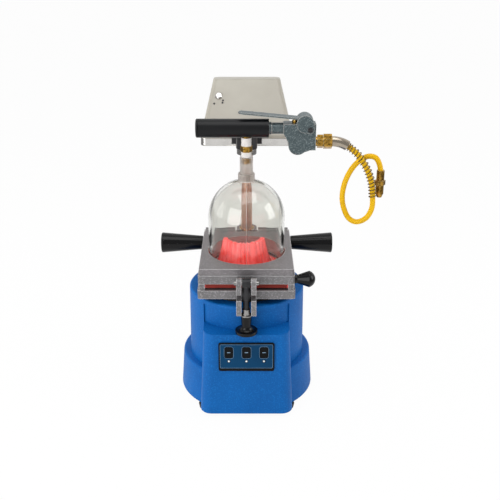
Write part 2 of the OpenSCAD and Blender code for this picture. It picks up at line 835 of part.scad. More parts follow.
module forming_sheet() color("tomato") {
    bump_r = arch_crest_w / 2 - 0.2;
    difference() {
        union() {
            translate([0, (sheet_w - sheet_d) / 2, sheet_z]) slab(sheet_w, sheet_d, sheet_t, sheet_corner_r);
            translate([arch_x, arch_y, sheet_top_z]) arch(0, -sheet_t / 2);
        }
        translate([arch_x, arch_y, sheet_top_z]) arch(sheet_t * 0.8, -sheet_t - past);
    }
    translate([arch_x, arch_y, sheet_top_z + arch_h - past])
        for (i = [0:arch_bumps - 1])
            rotate(270 + arch_sweep * ((i + 0.5) / arch_bumps - 0.5)) translate([arch_r, 0, 0])
                cylinder(r1 = bump_r, r2 = bump_r * 0.6, h = bump_h + past);
}

module grip() {
    difference() {
        along_x(upper_frame_w / 2, grip_y, grip_z) rotate_extrude() {
            edge = 2;
            polygon([[0, 0], [grip_inner_r, 0], [grip_outer_r, grip_l - edge],
                     [grip_outer_r - edge, grip_l - edge], [grip_outer_r - edge, grip_l], [0, grip_l + 1.5]]);
            translate([grip_outer_r - edge, grip_l - edge]) circle(edge);
        }
        along_x(upper_frame_w / 2 - past, grip_y, grip_z)
            cylinder(r = grip_stud_r + fit, h = grip_stud_in + past);
    }
}

module grip_right() color("black") grip();
module grip_left() color("black") mirror([1, 0, 0]) grip();

module grip_studs() color("silver")
    mirror_copy() along_x(upper_frame_w / 2 - grip_stud_root, grip_y, grip_z)
        cylinder(r = grip_stud_r, h = grip_stud_root + grip_stud_in - 1);

// Tapered knob with a domed end, turned about its own axis
module lift_knob() color("black")
    along_x(upper_frame_w / 2, lift_knob_y, lift_knob_z) difference() {
        rotate_extrude() {
            cap_r = (lift_knob_r * lift_knob_r + lift_cap_h * lift_cap_h) / (2 * lift_cap_h);
            polygon([[0, 0], [6.8, 0], [6.2, 4], [lift_knob_r, lift_knob_l - lift_cap_h],
                     [0, lift_knob_l - lift_cap_h]]);
            intersection() {
                translate([0, lift_knob_l - cap_r]) circle(cap_r);
                translate([0, lift_knob_l - lift_cap_h]) square([lift_knob_r, lift_cap_h]);
            }
        }
        translate([0, 0, -past]) cylinder(r = lift_stud_r + fit, h = lift_stud_l + 2 * past);
    }

module lift_knob_stud() color("silver")
    along_x(upper_frame_w / 2 - lift_stud_root, lift_knob_y, lift_knob_z)
        cylinder(r = lift_stud_r, h = lift_stud_root + lift_stud_l);

// Latch

module latch_pin() color("silver")
    along_x(-ear_out - pin_over, -latch_y, latch_pin_z)
        cylinder(r = latch_pin_r, h = 2 * (ear_out + pin_over));

module swing_bolt() color("dimgray")
    difference() {
        union() {
            along_x(-eye_w / 2, -latch_y, latch_pin_z) cylinder(r = eye_r, h = eye_w);
            translate([0, -latch_y, bolt_end_z])
                cylinder(r = bolt_r, h = latch_pin_z - bolt_end_z - latch_pin_r);
            translate([0, -latch_y, lower_top_z])
                cylinder(r = eye_w / 2 - 0.4, h = latch_pin_z - lower_top_z - eye_r / 2);
        }
        along_x(-eye_w, -latch_y, latch_pin_z) cylinder(r = latch_pin_r + running, h = 2 * eye_w);
    }

// Spool knob: a waisted neck over a thin wide flange
module clamp_knob() color("black")
    translate([0, -latch_y, knob_z]) difference() {
        rotate_extrude() {
            waist_z = clamp_flange_t + clamp_flare_r;
            difference() {
                square([clamp_neck_r - 0.8 + clamp_flare_r, waist_z]);
                translate([clamp_neck_r - 0.8 + clamp_flare_r, waist_z]) circle(clamp_flare_r);
                translate([clamp_flange_r - 1, -past]) square([clamp_knob_h, clamp_knob_h]);
            }
            square([clamp_flange_r, clamp_flange_t]);
            polygon([[0, waist_z], [clamp_neck_r - 0.8, waist_z], [clamp_neck_r, clamp_knob_h],
                     [0, clamp_knob_h]]);
        }
        translate([0, 0, knob_bore]) cylinder(r = bolt_r + running, h = clamp_knob_h);
    }

module clamp_collar() color("white")
    translate([0, -latch_y, washer_z]) difference() {
        union() {
            cylinder(r = washer_r, h = washer_t);
            cylinder(r = clamp_collar_r, h = washer_t + collar_sleeve_h);
        }
        translate([0, 0, -past]) cylinder(r = bolt_r + running, h = washer_t + collar_sleeve_h + 2 * past);
    }

// Bell

module bell_dome() color("lightcyan", 0.4) {
    inner_r = dome_r - dome_wall;
    difference() {
        translate([0, 0, rim_z]) rotate_extrude() difference() {
            union() {
                square([dome_r, dome_wall_h]);
                intersection() {
                    translate([0, dome_wall_h]) circle(dome_r);
                    translate([0, dome_wall_h]) square(dome_r);
                }
            }
            translate([-past, -past]) square([inner_r + past, dome_wall_h + past]);
            translate([0, dome_wall_h]) circle(inner_r);
        }
        translate([0, 0, dome_centre_z]) cylinder(r = nipple_r, h = 2 * dome_r);
    }
}

module rim_seal() color("black")
    translate([0, 0, sheet_top_z]) ring(dome_r - 0.3, dome_r - dome_wall + 0.3, rim_seal_t);

// Ring whose foot follows the round crown
module crown_ring(outer, inner, top_z) {
    low_z = dome_centre_z + sqrt(pow(dome_r, 2) - pow(outer, 2)) - past;
    difference() {
        translate([0, 0, low_z]) ring(outer, inner, top_z - low_z);
        translate([0, 0, dome_centre_z]) sphere(dome_r + 0.02);
    }
}

module neck_collar() color("lightcyan", 0.4) crown_ring(collar_r, neck_r + fit, crown_z + collar_h);

module neck_tube() color("lightcyan", 0.4) crown_ring(neck_r, nipple_r + 0.25, neck_top_z);

module pipe_nipple() color("goldenrod") {
    thread_in = 9;
    nipple_in = 6;
    nipple_bore_r = 3;
    difference() {
        union() {
            translate([0, 0, neck_top_z - thread_in])
                cylinder(r = nipple_r, h = bar_bottom_z + nipple_in - neck_top_z + thread_in);
            translate([0, 0, hex_z]) hexagon(nipple_af, nipple_hex_h);
        }
        translate([0, 0, neck_top_z - thread_in - past])
            cylinder(r = nipple_bore_r, h = bar_bottom_z + 2 * nipple_in - neck_top_z + thread_in);
    }
}

module thread_tape() color("white") {
    translate([0, 0, neck_top_z]) ring(nipple_r + 0.6, nipple_r + fit, tape_low_h);
    translate([0, 0, hex_top_z]) ring(nipple_r + 0.4, nipple_r + fit, tape_high_h);
}

module grip_bar() color("black")
    difference() {
        along_x(-bar_left, 0, bar_z) cylinder(r = bar_r, h = bar_left + bar_right);
        along_x(-bar_left - past, 0, bar_z) cylinder(r = bar_bore_r, h = bar_left + bar_right + 2 * past);
        along_x(bar_right - socket_depth, 0, bar_z) cylinder(r = valve_neck_r + fit, h = socket_depth + past);
        translate([0, 0, bar_bottom_z - past]) cylinder(r = nipple_r + fit, h = bar_r);
        flat_half = nipple_r + 2;
        translate([-flat_half, -flat_half, bar_bottom_z - past])
            cube([2 * flat_half, 2 * flat_half, past + bar_flat]);
    }

module bar_cap() color("black")
    translate([-bar_left, 0, bar_z]) rotate([0, -90, 0]) {
        rotate_extrude() drum_section(bar_r, bar_r, bar_cap_t, 2);
        translate([0, 0, -6]) cylinder(r = bar_bore_r - fit, h = 6);
    }

// Side outline of the cast valve, in X and Z
module valve_outline() {
    polygon([[valve_x - 6, bar_z - 6], [valve_x - 6, valve_top_z], [valve_end_x, valve_top_z],
             [valve_end_x, port_z - 10.5], [lobe_x + lobe_r, port_z - 10.5], [lobe_x, lobe_z],
             [lobe_x - lobe_r + 0.6, lobe_z + 3]]);
    translate([lobe_x, lobe_z]) circle(lobe_r);
    difference() {
        polygon([[lobe_x, lobe_z], [lobe_x + lobe_r + 6, port_z - 8], [lobe_x + lobe_r + 6, port_z - 10.5],
                 [lobe_x + lobe_r * 0.72, lobe_z - lobe_r * 0.7]]);
        translate([lobe_x + lobe_r + 6, port_z - 10.5 - 9]) circle(9);
    }
}

module valve_body() color("slategray")
    difference() {
        union() {
            translate([0, valve_t / 2, 0]) rotate([90, 0, 0]) linear_extrude(valve_t) valve_outline();
            along_x(bar_right - socket_depth, 0, bar_z) cylinder(r = valve_neck_r, h = valve_neck_l + 4);
            along_x(bar_right, 0, bar_z) cylinder(r1 = valve_neck_r + 1, r2 = valve_neck_r + 1, h = 4);
            along_x(valve_end_x - 8, 0, port_z) cylinder(r = valve_t / 2 - 1, h = 8);
        }
        translate([plunger_x, 0, plunger_z - spring_h])
            cylinder(r = plunger_r + running, h = plunger_top_z - plunger_z + spring_h);
        along_y(pivot_x, -valve_t, pivot_z) cylinder(r = pivot_r + fit, h = 2 * valve_t);
        along_x(bar_right - socket_depth - past, 0, bar_z) cylinder(r = 3, h = valve_neck_l + past);
    }

module lever_pivot() color("silver") {
    along_y(pivot_x, -lever_half - 0.4, pivot_z) cylinder(r = pivot_r, h = 2 * lever_half + 0.8);
    for (s = [0, 1]) mirror([0, s, 0])
        along_y(pivot_x, -lever_half - 2.2, pivot_z) difference() {
            cylinder(r = pivot_r + 1.2, h = 1.9);
            translate([-pivot_r * 2, -0.5, -past]) cube([pivot_r * 4, 1, past + 0.7]);
        }
}

module valve_spring() color("silver")
    translate([plunger_x, 0, plunger_z - spring_h]) ring(plunger_r - 0.6, plunger_r - 1.6, spring_h);

module valve_plunger() color("gold")
    translate([plunger_x, 0, plunger_z]) {
        cylinder(r = plunger_r, h = plunger_top_z - plunger_z - 1);
        cylinder(r = plunger_r - 0.8, h = plunger_top_z - plunger_z);
    }

// Pressed-steel lever: two cheeks on the pivot, a rounded back and a long rising palm strip
module valve_lever() color("slategray") {
    strip_z = plunger_top_z + gap;
    difference() {
        union() {
            translate([0, lever_half, 0]) rotate([90, 0, 0]) linear_extrude(2 * lever_half) {
                translate([hump_x, hump_z]) circle(hump_r);
                translate([pivot_x, pivot_z]) circle(2.4 * pivot_r);
                polygon([[pivot_x + 2.4 * pivot_r, pivot_z], [hump_x + hump_r, hump_z],
                         [hump_x - hump_r, hump_z], [pivot_x - 2.4 * pivot_r, pivot_z]]);
            }
            translate([plunger_x + 9, 0, strip_z]) rotate([0, lever_slope, 0])
                translate([-lever_reach + 30, -web_half, 0]) lever_strip(lever_reach - 30, lever_t);
        }
        translate([0, cheek_in, 0]) rotate([90, 0, 0]) linear_extrude(2 * cheek_in) {
            translate([hump_x, hump_z]) circle(hump_r - lever_t);
            polygon([[hump_x - 2 * hump_r, pivot_z - 8], [hump_x + 2 * hump_r, pivot_z - 8],
                     [hump_x + 2 * hump_r, hump_z], [hump_x - 2 * hump_r, hump_z]]);
        }
        translate([hump_x - 3 * hump_r, -cheek_in, pivot_z])
            cube([2.4 * hump_r, 2 * cheek_in, strip_z - pivot_z]);
        along_y(pivot_x, -2 * lever_half, pivot_z) cylinder(r = pivot_r + running, h = 4 * lever_half);
    }
}

// Flat strip with a round free end
module lever_strip(l, t) {
    translate([0, web_half, 0]) cylinder(r = web_half, h = t);
    cube([l, 2 * web_half, t]);
}

// Hose

module hose_fitting() color("goldenrod") {
    along_x(valve_end_x, 0, port_z) cylinder(r = nut_af / 2 - 1.5, h = stub_l);
    along_x(nut_x, 0, port_z) hexagon(nut_af, nut_l - 0.6);
    along_x(nut_x, 0, port_z) cylinder(r = nut_af / 2 - 1, h = nut_l);
    along_x(swivel_x, 0, port_z) hexagon(swivel_af, swivel_l);
}

// Tube bent down towards the hose
module hose_sleeve() color("silver")
    translate([sleeve_x, 0, port_z - sleeve_bend_r]) rotate([90, 0, 0]) rotate(90 - sleeve_bend)
        rotate_extrude(angle = sleeve_bend) translate([sleeve_bend_r, 0])
            difference() {
                circle(sleeve_r);
                circle(hose_r + fit);
            }

function unit(v) = v / norm(v);
function spline(a, b, c, d, t) =
    (2 * b + (c - a) * t + (2 * a - 5 * b + 4 * c - d) * t * t + (3 * b - a - 3 * c + d) * t * t * t) / 2;
function route_at(u) =
    let (last = len(hose_route) - 1, i = min(floor(u), last - 1))
    spline(hose_route[max(i - 1, 0)], hose_route[i], hose_route[i + 1], hose_route[min(i + 2, last)], u - i);
function route_dir(u) =
    let (last = len(hose_route) - 1)
    unit(route_at(min(u + 0.01, last)) - route_at(max(u - 0.01, 0)));
// Two directions square to the route, the first of them level with Y
function route_side(u) = let (d = route_dir(u)) unit([0, 1, 0] - d[1] * d);
function route_up(u) = cross(route_dir(u), route_side(u));

function ring_points(centre, side, up, r, sides) =
    [for (j = [0:sides - 1]) centre + r * (cos(360 * j / sides) * side + sin(360 * j / sides) * up)];

// Closed tube over a list of rings that have the same number of points
module tube(rings) {
    n = len(rings);
    m = len(rings[0]);
    points = [for (one = rings) each one];
    walls = [for (i = [0:n - 2], j = [0:m - 1])
        let (k = (j + 1) % m)
        each [[i * m + j, i * m + k, (i + 1) * m + k], [i * m + j, (i + 1) * m + k, (i + 1) * m + j]]];
    caps = [for (j = [1:m - 2]) each [[0, j + 1, j], [(n - 1) * m, (n - 1) * m + j, (n - 1) * m + j + 1]]];
    polyhedron(points, concat(walls, caps));
}

hose_last = len(hose_route) - 1;
hose_stations = [for (k = [0:hose_last * hose_steps]) k / hose_steps];

module air_hose() color("gold")
    tube([for (u = hose_stations) ring_points(route_at(u), route_side(u), route_up(u), hose_r, hose_sides)]);

// Wire of the guard: a helix round the route, with a short straight end at each side
guard_steps = guard_turns * guard_rings;
function guard_radial(k) =
    let (u = guard_span * k / guard_steps, a = 360 * k / guard_rings)
    cos(a) * route_side(u) + sin(a) * route_up(u);
function guard_at(k) =
    let (u = guard_span * k / guard_steps, lead = 2 * guard_wire_r)
    route_at(u) + guard_r * guard_radial(k) + lead * route_dir(u);
guard_line = concat(
    [guard_at(0) - 2 * guard_wire_r * route_dir(0)],
    [for (k = [0:guard_steps]) guard_at(k)],
    [guard_at(guard_steps) + 2 * guard_wire_r * route_dir(guard_span)]);
function guard_normal(i) = guard_radial(min(max(i - 1, 0), guard_steps));
function guard_tangent(i) =
    unit(guard_line[min(i + 1, len(guard_line) - 1)] - guard_line[max(i - 1, 0)]);

module spring_guard() color("silver")
    tube([for (i = [0:len(guard_line) - 1])
        let (t = guard_tangent(i), side = unit(guard_normal(i) - (guard_normal(i) * t) * t))
        ring_points(guard_line[i], side, cross(t, side), guard_wire_r, guard_sides)]);

guard_gap = min([for (i = [1:guard_steps - guard_rings],
                      j = [i + guard_rings - 2:min(i + guard_rings + 2, guard_steps)])
                 norm(guard_line[i] - guard_line[j])]) - 2 * guard_wire_r;
hose_length = [for (u = hose_stations) norm(route_at(min(u + 1 / hose_steps, hose_last)) - route_at(u))];
echo(guard_least_gap_mm = guard_gap, hose_length_mm = hose_length * [for (l = hose_length) 1]);

// Male coupling plug hanging from the end of the hose
module hose_plug() color("goldenrod") {
    end = hose_route[hose_last];
    translate(end) rotate([180, 0, 0]) difference() {
        union() {
            translate([0, 0, -ferrule_l + 2]) ring(hose_r + 1.8, hose_r + fit, ferrule_l - 2);
            cylinder(r = hose_r + 1.8, h = plug_hex_z);
            translate([0, 0, plug_hex_z]) hexagon(plug_hex_af, plug_hex_h);
            translate([0, 0, plug_nose_z]) cylinder(r = plug_nose_r, h = plug_nose_l);
            translate([0, 0, plug_nose_z + plug_nose_l])
                cylinder(r1 = plug_nose_r - 0.4, r2 = plug_nose_r - 2.2, h = plug_tip_l);
        }
        translate([0, 0, 2 * plug_hex_z]) cylinder(r = 2.4, h = plug_nose_z + plug_nose_l + plug_tip_l);
    }
}

// Heater, stored behind the post with its front to the bell

module hood_shape(inset, low, high) {
    corner = hood_corner_r - inset;
    hull()
        for (sx = [-1, 1], sy = [-1, 1])
            translate([sx * (hood_w / 2 - inset - corner),
                       hood_mid_y + sy * (hood_d / 2 - inset - corner), 0]) {
                translate([0, 0, low]) cylinder(r = corner, h = hood_slope_z - low, $fn = 32);
                translate([-sx * hood_side_in, -sy * hood_end_in, high - 0.01])
                    cylinder(r = corner, h = 0.01, $fn = 32);
            }
}

module heater_hood() color("gainsboro")
    difference() {
        hood_shape(0, hood_z, hood_top_z);
        hood_shape(hood_t, hood_z - past, hood_top_z - hood_t);
    }

module hood_bracket() color("dimgray")
    difference() {
        union() {
            translate([0, post_y, swivel_z]) cylinder(r = swivel_r, h = swivel_h);
            translate([-arm_half, post_y, swivel_z]) cube([2 * arm_half, hood_gap - flange_t / 2, arm_h]);
            translate([-flange_half, hood_front_y - flange_t, swivel_z])
                cube([2 * flange_half, flange_t, arm_h]);
        }
        translate([0, post_y, swivel_z - past]) cylinder(r = post_r + running, h = swivel_h + 2 * past);
    }

module heating_element() color("firebrick")
    translate([0, hood_mid_y, element_z]) {
        first = -(element_runs - 1) / 2;
        for (i = [0:element_runs - 1])
            along_x(-element_run_l / 2, (first + i) * element_pitch, 0)
                cylinder(r = element_r, h = element_run_l);
        for (i = [0:element_runs - 2]) {
            s = i % 2 == 0 ? 1 : -1;
            translate([s * element_run_l / 2, (first + i + 0.5) * element_pitch, 0])
                rotate(s > 0 ? -90 : 90) rotate_extrude(angle = 180)
                    translate([element_pitch / 2, 0]) circle(element_r);
        }
    }

module reflector() color("silver")
    translate([0, hood_mid_y, reflector_z])
        slab(hood_w - 2 * hood_t - 2 * gap, hood_d - 2 * hood_t - 2 * gap, reflector_t,
             hood_corner_r - hood_t);

module element_insulators() color("ivory")
    for (x = [-1, 1], y = [-1, 1])
        translate([x * element_run_l / 3, hood_mid_y + y * element_pitch * (element_runs - 1) / 2,
                   element_z + element_r])
            cylinder(r = insulator_r, h = reflector_z - element_z - element_r);

base_housing();
bottom_plate();
bottom_screws();
base_feet();
motor_mount();
vacuum_motor();
motor_seal();
vacuum_plate();
platform_seal();
cord_gland();
control_panel();
button_left();
button_centre();
button_right();
indicator_lamps();
control_board();
slide_post();
post_cap();
swivel_stop();
lower_frame();
upper_frame();
locating_plate();
plate_screws();
frame_hinge_pins();
slide_bushing();
lower_gasket();
upper_gasket();
forming_sheet();
grip_left();
grip_right();
grip_studs();
lift_knob();
lift_knob_stud();
latch_pin();
swing_bolt();
clamp_knob();
clamp_collar();
bell_dome();
rim_seal();
neck_collar();
neck_tube();
pipe_nipple();
thread_tape();
grip_bar();
bar_cap();
valve_body();
lever_pivot();
valve_spring();
valve_lever();
valve_plunger();
hose_fitting();
hose_sleeve();
spring_guard();
air_hose();
hose_plug();
heater_hood();
hood_bracket();
heating_element();
reflector();
element_insulators();
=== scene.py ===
"""Looks of a bench-top thermoforming machine with a lift-off pressure pot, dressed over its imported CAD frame.

Pieces are modelled in millimetres, in the frame of the CAD model, and brought to metres when they are finished.
"""

import logging
import math
from collections.abc import Callable, Iterator, Sequence
from contextlib import contextmanager
from dataclasses import dataclass
from enum import Enum

import bmesh
import bpy
from mathutils import Matrix, Vector


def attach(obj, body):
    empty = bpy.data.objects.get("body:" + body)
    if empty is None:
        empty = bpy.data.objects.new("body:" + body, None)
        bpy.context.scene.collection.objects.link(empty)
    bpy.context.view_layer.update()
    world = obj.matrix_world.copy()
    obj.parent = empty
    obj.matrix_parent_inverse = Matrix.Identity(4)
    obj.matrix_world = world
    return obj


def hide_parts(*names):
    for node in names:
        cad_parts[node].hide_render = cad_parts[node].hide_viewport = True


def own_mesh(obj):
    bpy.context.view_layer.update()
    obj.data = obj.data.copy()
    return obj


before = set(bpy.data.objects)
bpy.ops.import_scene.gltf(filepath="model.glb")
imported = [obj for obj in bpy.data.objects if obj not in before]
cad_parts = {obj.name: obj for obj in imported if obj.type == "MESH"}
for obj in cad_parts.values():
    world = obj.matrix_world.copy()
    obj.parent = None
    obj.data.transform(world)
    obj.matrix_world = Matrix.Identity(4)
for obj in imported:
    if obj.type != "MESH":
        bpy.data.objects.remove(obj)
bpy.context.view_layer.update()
LOG = logging.getLogger("pressure_pot")

Point = tuple[float, float, float]
Corner = tuple[float, float, float]
Outline = list[tuple[float, float]]
Object = bpy.types.Object

TO_METRES = Matrix.Scale(0.001, 4)
TO_MILLIMETRES = Matrix.Scale(1000.0, 4)
UPRIGHT = Matrix.Identity(4)
ALONG_MINUS_Y = Matrix.Rotation(math.radians(90), 4, "X")


def metres(x: float, y: float, z: float) -> Vector:
    """A point given in millimetres, in metres."""
    return Vector((x, y, z)) * 0.001


def linear(code: str) -> tuple[float, float, float, float]:
    """Turns an sRGB hex code into a linear colour.

    Args:
        code: six hex digits after a hash.

    Returns:
        Red, green and blue in linear light, and full alpha.
    """
    parts = [int(code[i:i + 2], 16) / 255 for i in (1, 3, 5)]
    red, green, blue = (c / 12.92 if c <= 0.04045 else ((c + 0.055) / 1.055) ** 2.4 for c in parts)
    return red, green, blue, 1.0


def add_node(tree: bpy.types.NodeTree, kind: str, settings: dict | None = None,
             inputs: dict | None = None) -> bpy.types.Node:
    """Adds a shader node with its settings and its inputs.

    Args:
        tree: the node tree that gets the node.
        kind: the node's type name.
        settings: the node's own properties by name.
        inputs: values, or output sockets to link, by the name or number of the input.

    Returns:
        The new node.
    """
    node = tree.nodes.new(kind)
    for name, value in (settings or {}).items():
        setattr(node, name, value)
    for name, value in (inputs or {}).items():
        if isinstance(value, bpy.types.NodeSocket):
            tree.links.new(value, node.inputs[name])
        else:
            node.inputs[name].default_value = value
    return node


class Grain(Enum):
    """Direction of a finish's fine relief, as the factors that stretch its pattern."""

    EVEN = (1.0, 1.0, 1.0)
    BRUSHED_X = (0.03, 1.0, 1.0)
    BRUSHED_Y = (1.0, 0.03, 1.0)
    BRUSHED_Z = (1.0, 1.0, 0.03)
    TURNED_X = (1.0, 0.04, 0.04)
    TURNED_Z = (0.04, 0.04, 1.0)


@dataclass(frozen=True)
class Finish:
    """An opaque finish whose colour drifts, with fine relief, specks and painted highlights along its edges.

    The lengths are the real sizes of its patterns, in millimetres.
    """

    name: str
    colour: str
    drift: str
    drift_mm: float = 45.0
    metallic: float = 0.0
    roughness: float = 0.45
    rough_spread: float = 0.08
    ior: float = 1.5
    grain: Grain = Grain.EVEN
    grain_mm: float = 1.2
    relief_mm: float = 0.02
    speck: str = ""
    speck_mm: float = 0.8
    speck_share: float = 0.4
    # colour of the painted highlights along the edges, empty for none
    edge: str = ""
    edge_mm: float = 0.9
    coat: float = 0.0
    specular: float = 0.5

    def material(self) -> bpy.types.Material:
        """Makes the material once.

        Returns:
            The material of this name.
        """
        known = bpy.data.materials.get(self.name)
        if known:
            return known
        material = bpy.data.materials.new(self.name)
        material.use_nodes = True
        tree = material.node_tree
        shader = tree.nodes["Principled BSDF"]
        at = add_node(tree, "ShaderNodeTexCoord").outputs["Object"]
        clouds = add_node(tree, "ShaderNodeTexNoise", None,
                          {"Vector": at, "Scale": 1000 / self.drift_mm, "Detail": 4.0})
        spread = add_node(tree, "ShaderNodeMapRange", None,
                          {0: clouds.outputs[0], 1: 0.35, 2: 0.65})
        colour = add_node(tree, "ShaderNodeMix", {"data_type": "RGBA"},
                          {0: spread.outputs[0], 6: linear(self.colour), 7: linear(self.drift)}).outputs[2]
        stretched = add_node(tree, "ShaderNodeVectorMath", {"operation": "MULTIPLY"},
                             {0: at, 1: self.grain.value})
        fine = add_node(tree, "ShaderNodeTexNoise", None,
                        {"Vector": stretched.outputs[0], "Scale": 1000 / self.grain_mm, "Detail": 3.0})
        if self.speck:
            specks = add_node(tree, "ShaderNodeTexNoise", None,
                              {"Vector": at, "Scale": 1000 / self.speck_mm, "Detail": 1.0})
            share = add_node(tree, "ShaderNodeMapRange", None,
                             {0: specks.outputs[0], 1: 0.52, 2: 0.7, 4: self.speck_share})
            colour = add_node(tree, "ShaderNodeMix", {"data_type": "RGBA"},
                              {0: share.outputs[0], 6: colour, 7: linear(self.speck)}).outputs[2]
        # Painted highlight: the edge colour is mixed in where the rounded normal turns away from the flat one
        if self.edge:
            rounded = add_node(tree, "ShaderNodeBevel", {"samples": 4}, {"Radius": self.edge_mm / 1000})
            flat = add_node(tree, "ShaderNodeNewGeometry").outputs["Normal"]
            bend = add_node(tree, "ShaderNodeVectorMath", {"operation": "DOT_PRODUCT"},
                            {0: rounded.outputs[0], 1: flat})
            edge_highlight_share = add_node(tree, "ShaderNodeMapRange", None,
                            {0: bend.outputs["Value"], 1: 0.995, 2: 0.86, 4: 0.85})
            colour = add_node(tree, "ShaderNodeMix", {"data_type": "RGBA"},
                              {0: edge_highlight_share.outputs[0], 6: colour, 7: linear(self.edge)}).outputs[2]
        rough = add_node(tree, "ShaderNodeMapRange", None,
                         {0: fine.outputs[0], 1: 0.3, 2: 0.7, 3: self.roughness - self.rough_spread,
                          4: self.roughness + self.rough_spread})
        bump = add_node(tree, "ShaderNodeBump", None,
                        {"Strength": 1.0, "Distance": self.relief_mm / 1000, "Height": fine.outputs[0]})
        tree.links.new(colour, shader.inputs["Base Color"])
        tree.links.new(rough.outputs[0], shader.inputs["Roughness"])
        tree.links.new(bump.outputs[0], shader.inputs["Normal"])
        shader.inputs["Metallic"].default_value = self.metallic
        shader.inputs["Coat Weight"].default_value = self.coat
        shader.inputs["Coat Roughness"].default_value = 0.25
        shader.inputs["Specular IOR Level"].default_value = self.specular
        if not self.metallic:
            shader.inputs["IOR"].default_value = self.ior
        return material


@dataclass(frozen=True)
class ClearPlastic:
    """A clear moulded plastic with a faint haze from handling, which lets lamps shine on what it covers."""

    name: str
    tint: str
    haze: str
    roughness: float = 0.02
    ior: float = 1.49

    def material(self) -> bpy.types.Material:
        """Makes the material once.

        Returns:
            The material of this name.
        """
        known = bpy.data.materials.get(self.name)
        if known:
            return known
        material = bpy.data.materials.new(self.name)
        material.use_nodes = True
        tree = material.node_tree
        shader = tree.nodes["Principled BSDF"]
        at = add_node(tree, "ShaderNodeTexCoord").outputs["Object"]
        smears = add_node(tree, "ShaderNodeTexNoise", None, {"Vector": at, "Scale": 30.0, "Detail": 5.0})
        share = add_node(tree, "ShaderNodeMapRange", None, {0: smears.outputs[0], 1: 0.4, 2: 0.75})
        tint = add_node(tree, "ShaderNodeMix", {"data_type": "RGBA"},
                        {0: share.outputs[0], 6: linear(self.tint), 7: linear(self.haze)})
        rough = add_node(tree, "ShaderNodeMapRange", None,
                         {0: smears.outputs[0], 1: 0.4, 2: 0.8, 3: self.roughness, 4: self.roughness + 0.05})
        tree.links.new(tint.outputs[2], shader.inputs["Base Color"])
        tree.links.new(rough.outputs[0], shader.inputs["Roughness"])
        shader.inputs["Transmission Weight"].default_value = 1.0
        shader.inputs["IOR"].default_value = self.ior
        lit = add_node(tree, "ShaderNodeBsdfTransparent", None, {"Color": linear(self.tint)})
        mixed = add_node(tree, "ShaderNodeMixShader", None,
                         {0: add_node(tree, "ShaderNodeLightPath").outputs["Is Shadow Ray"], 1: shader.outputs[0],
                          2: lit.outputs[0]})
        tree.links.new(mixed.outputs[0], tree.nodes["Material Output"].inputs["Surface"])
        return material


# Moulded housing: even blue with a fine leathery spark-eroded skin and soft highlights
BLUE_ABS = Finish("Blue_ABS", "#005da8", "#00569e", 70, roughness=0.55, rough_spread=0.06, ior=1.46,
                  grain_mm=1.6, relief_mm=0.05, speck="#117ccb", speck_mm=2.0, speck_share=0.4, specular=0.2)
# Printed film of the panel: a darker, smoother blue than the housing
BLUE_FILM = Finish("Polyester_film_blue", "#023d63", "#02375a", 40, roughness=0.55, grain_mm=0.6, relief_mm=0.004,
                   specular=0.12)
# Light lines printed on the film
PALE_PRINT = Finish("Printed_pale_blue", "#7f9db6", "#7391ab", 12, roughness=0.45, grain_mm=0.5, relief_mm=0.003)
# Polished phenolic knobs and grips: deep black with sharp highlights
PHENOLIC = Finish("Phenolic_black", "#050506", "#08080a", 30, roughness=0.2, rough_spread=0.05, ior=1.45,
                  grain_mm=2.0, relief_mm=0.01, specular=0.3)
# Satin black tube of the handle
BLACK_ABS = Finish("Black_ABS", "#0c0d10", "#090a0c", 30, roughness=0.36, ior=1.45, grain_mm=0.8, relief_mm=0.012,
                   specular=0.3)
# Dull black of the panel's bezel and its keys
BLACK_KEYS = Finish("Black_keys", "#08090b", "#060708", 20, roughness=0.5, ior=1.45, grain_mm=0.6, relief_mm=0.01,
                    specular=0.15)
# Black rubber of feet and gaskets: dull, slightly dusty
RUBBER = Finish("Rubber_black", "#161617", "#1f1f20", 18, roughness=0.75, grain_mm=0.7, relief_mm=0.03)
# Cast aluminium frames: grey, bead blasted, sparkling, with painted highlights along the edges
CAST_ALUMINIUM = Finish("Cast_aluminium", "#7b797a", "#716f70", 26, metallic=0.55, roughness=0.46,
                        rough_spread=0.1, grain_mm=1.2, relief_mm=0.07, speck="#b3b0b2", speck_mm=1.7,
                        speck_share=0.6, edge="#efedef", edge_mm=1.3)
# Milled top plate: smoother, with lengthwise tool marks that smear reflections, and painted highlights along its edges
MILLED_ALUMINIUM = Finish("Milled_aluminium", "#807c7e", "#787476", 40, metallic=0.5, roughness=0.46,
                          rough_spread=0.06, grain=Grain.BRUSHED_Y, grain_mm=1.8, relief_mm=0.006,
                          speck="#a5a1a3", speck_mm=1.6, speck_share=0.5, edge="#f0eef0", edge_mm=1.3)
# Bored hole in the plate and the frame: bright turned metal that mirrors the sheet, with the sheet's red reflection
# also painted into its pinkish colour
BORED_ALUMINIUM = Finish("Bored_aluminium", "#c9a5a3", "#bd9997", 30, metallic=0.55, roughness=0.3,
                         rough_spread=0.05, grain=Grain.TURNED_Z, grain_mm=0.9, relief_mm=0.004)
# Turned steel of pins, screws and collars
STEEL = Finish("Turned_steel", "#a3a19f", "#949290", 20, metallic=1.0, roughness=0.28, grain=Grain.TURNED_Z,
               grain_mm=0.5, relief_mm=0.006)
# Bright sleeve on the hose, with a warm tint painted in for what it mirrors
NICKEL = Finish("Nickel_plate", "#b3a897", "#a3988a", 14, metallic=1.0, roughness=0.2, grain_mm=1.5, relief_mm=0.01)
# Blackened screws and the swing bolt, with painted highlights along their edges
BLACK_STEEL = Finish("Blackened_steel", "#2b2b2d", "#353537", 16, metallic=0.6, roughness=0.42,
                     grain=Grain.TURNED_Z, grain_mm=0.6, relief_mm=0.02, edge="#6b6a6c")
# Steel slide post, with a copper tone painted in for the warm reflections it shows, drawn along its length
WARM_TINTED_STEEL = Finish("Steel_painted_warm_reflection", "#dfb39f", "#cfa28e", 35, metallic=0.7, roughness=0.32,
                      grain=Grain.BRUSHED_Z, grain_mm=0.7, relief_mm=0.008)
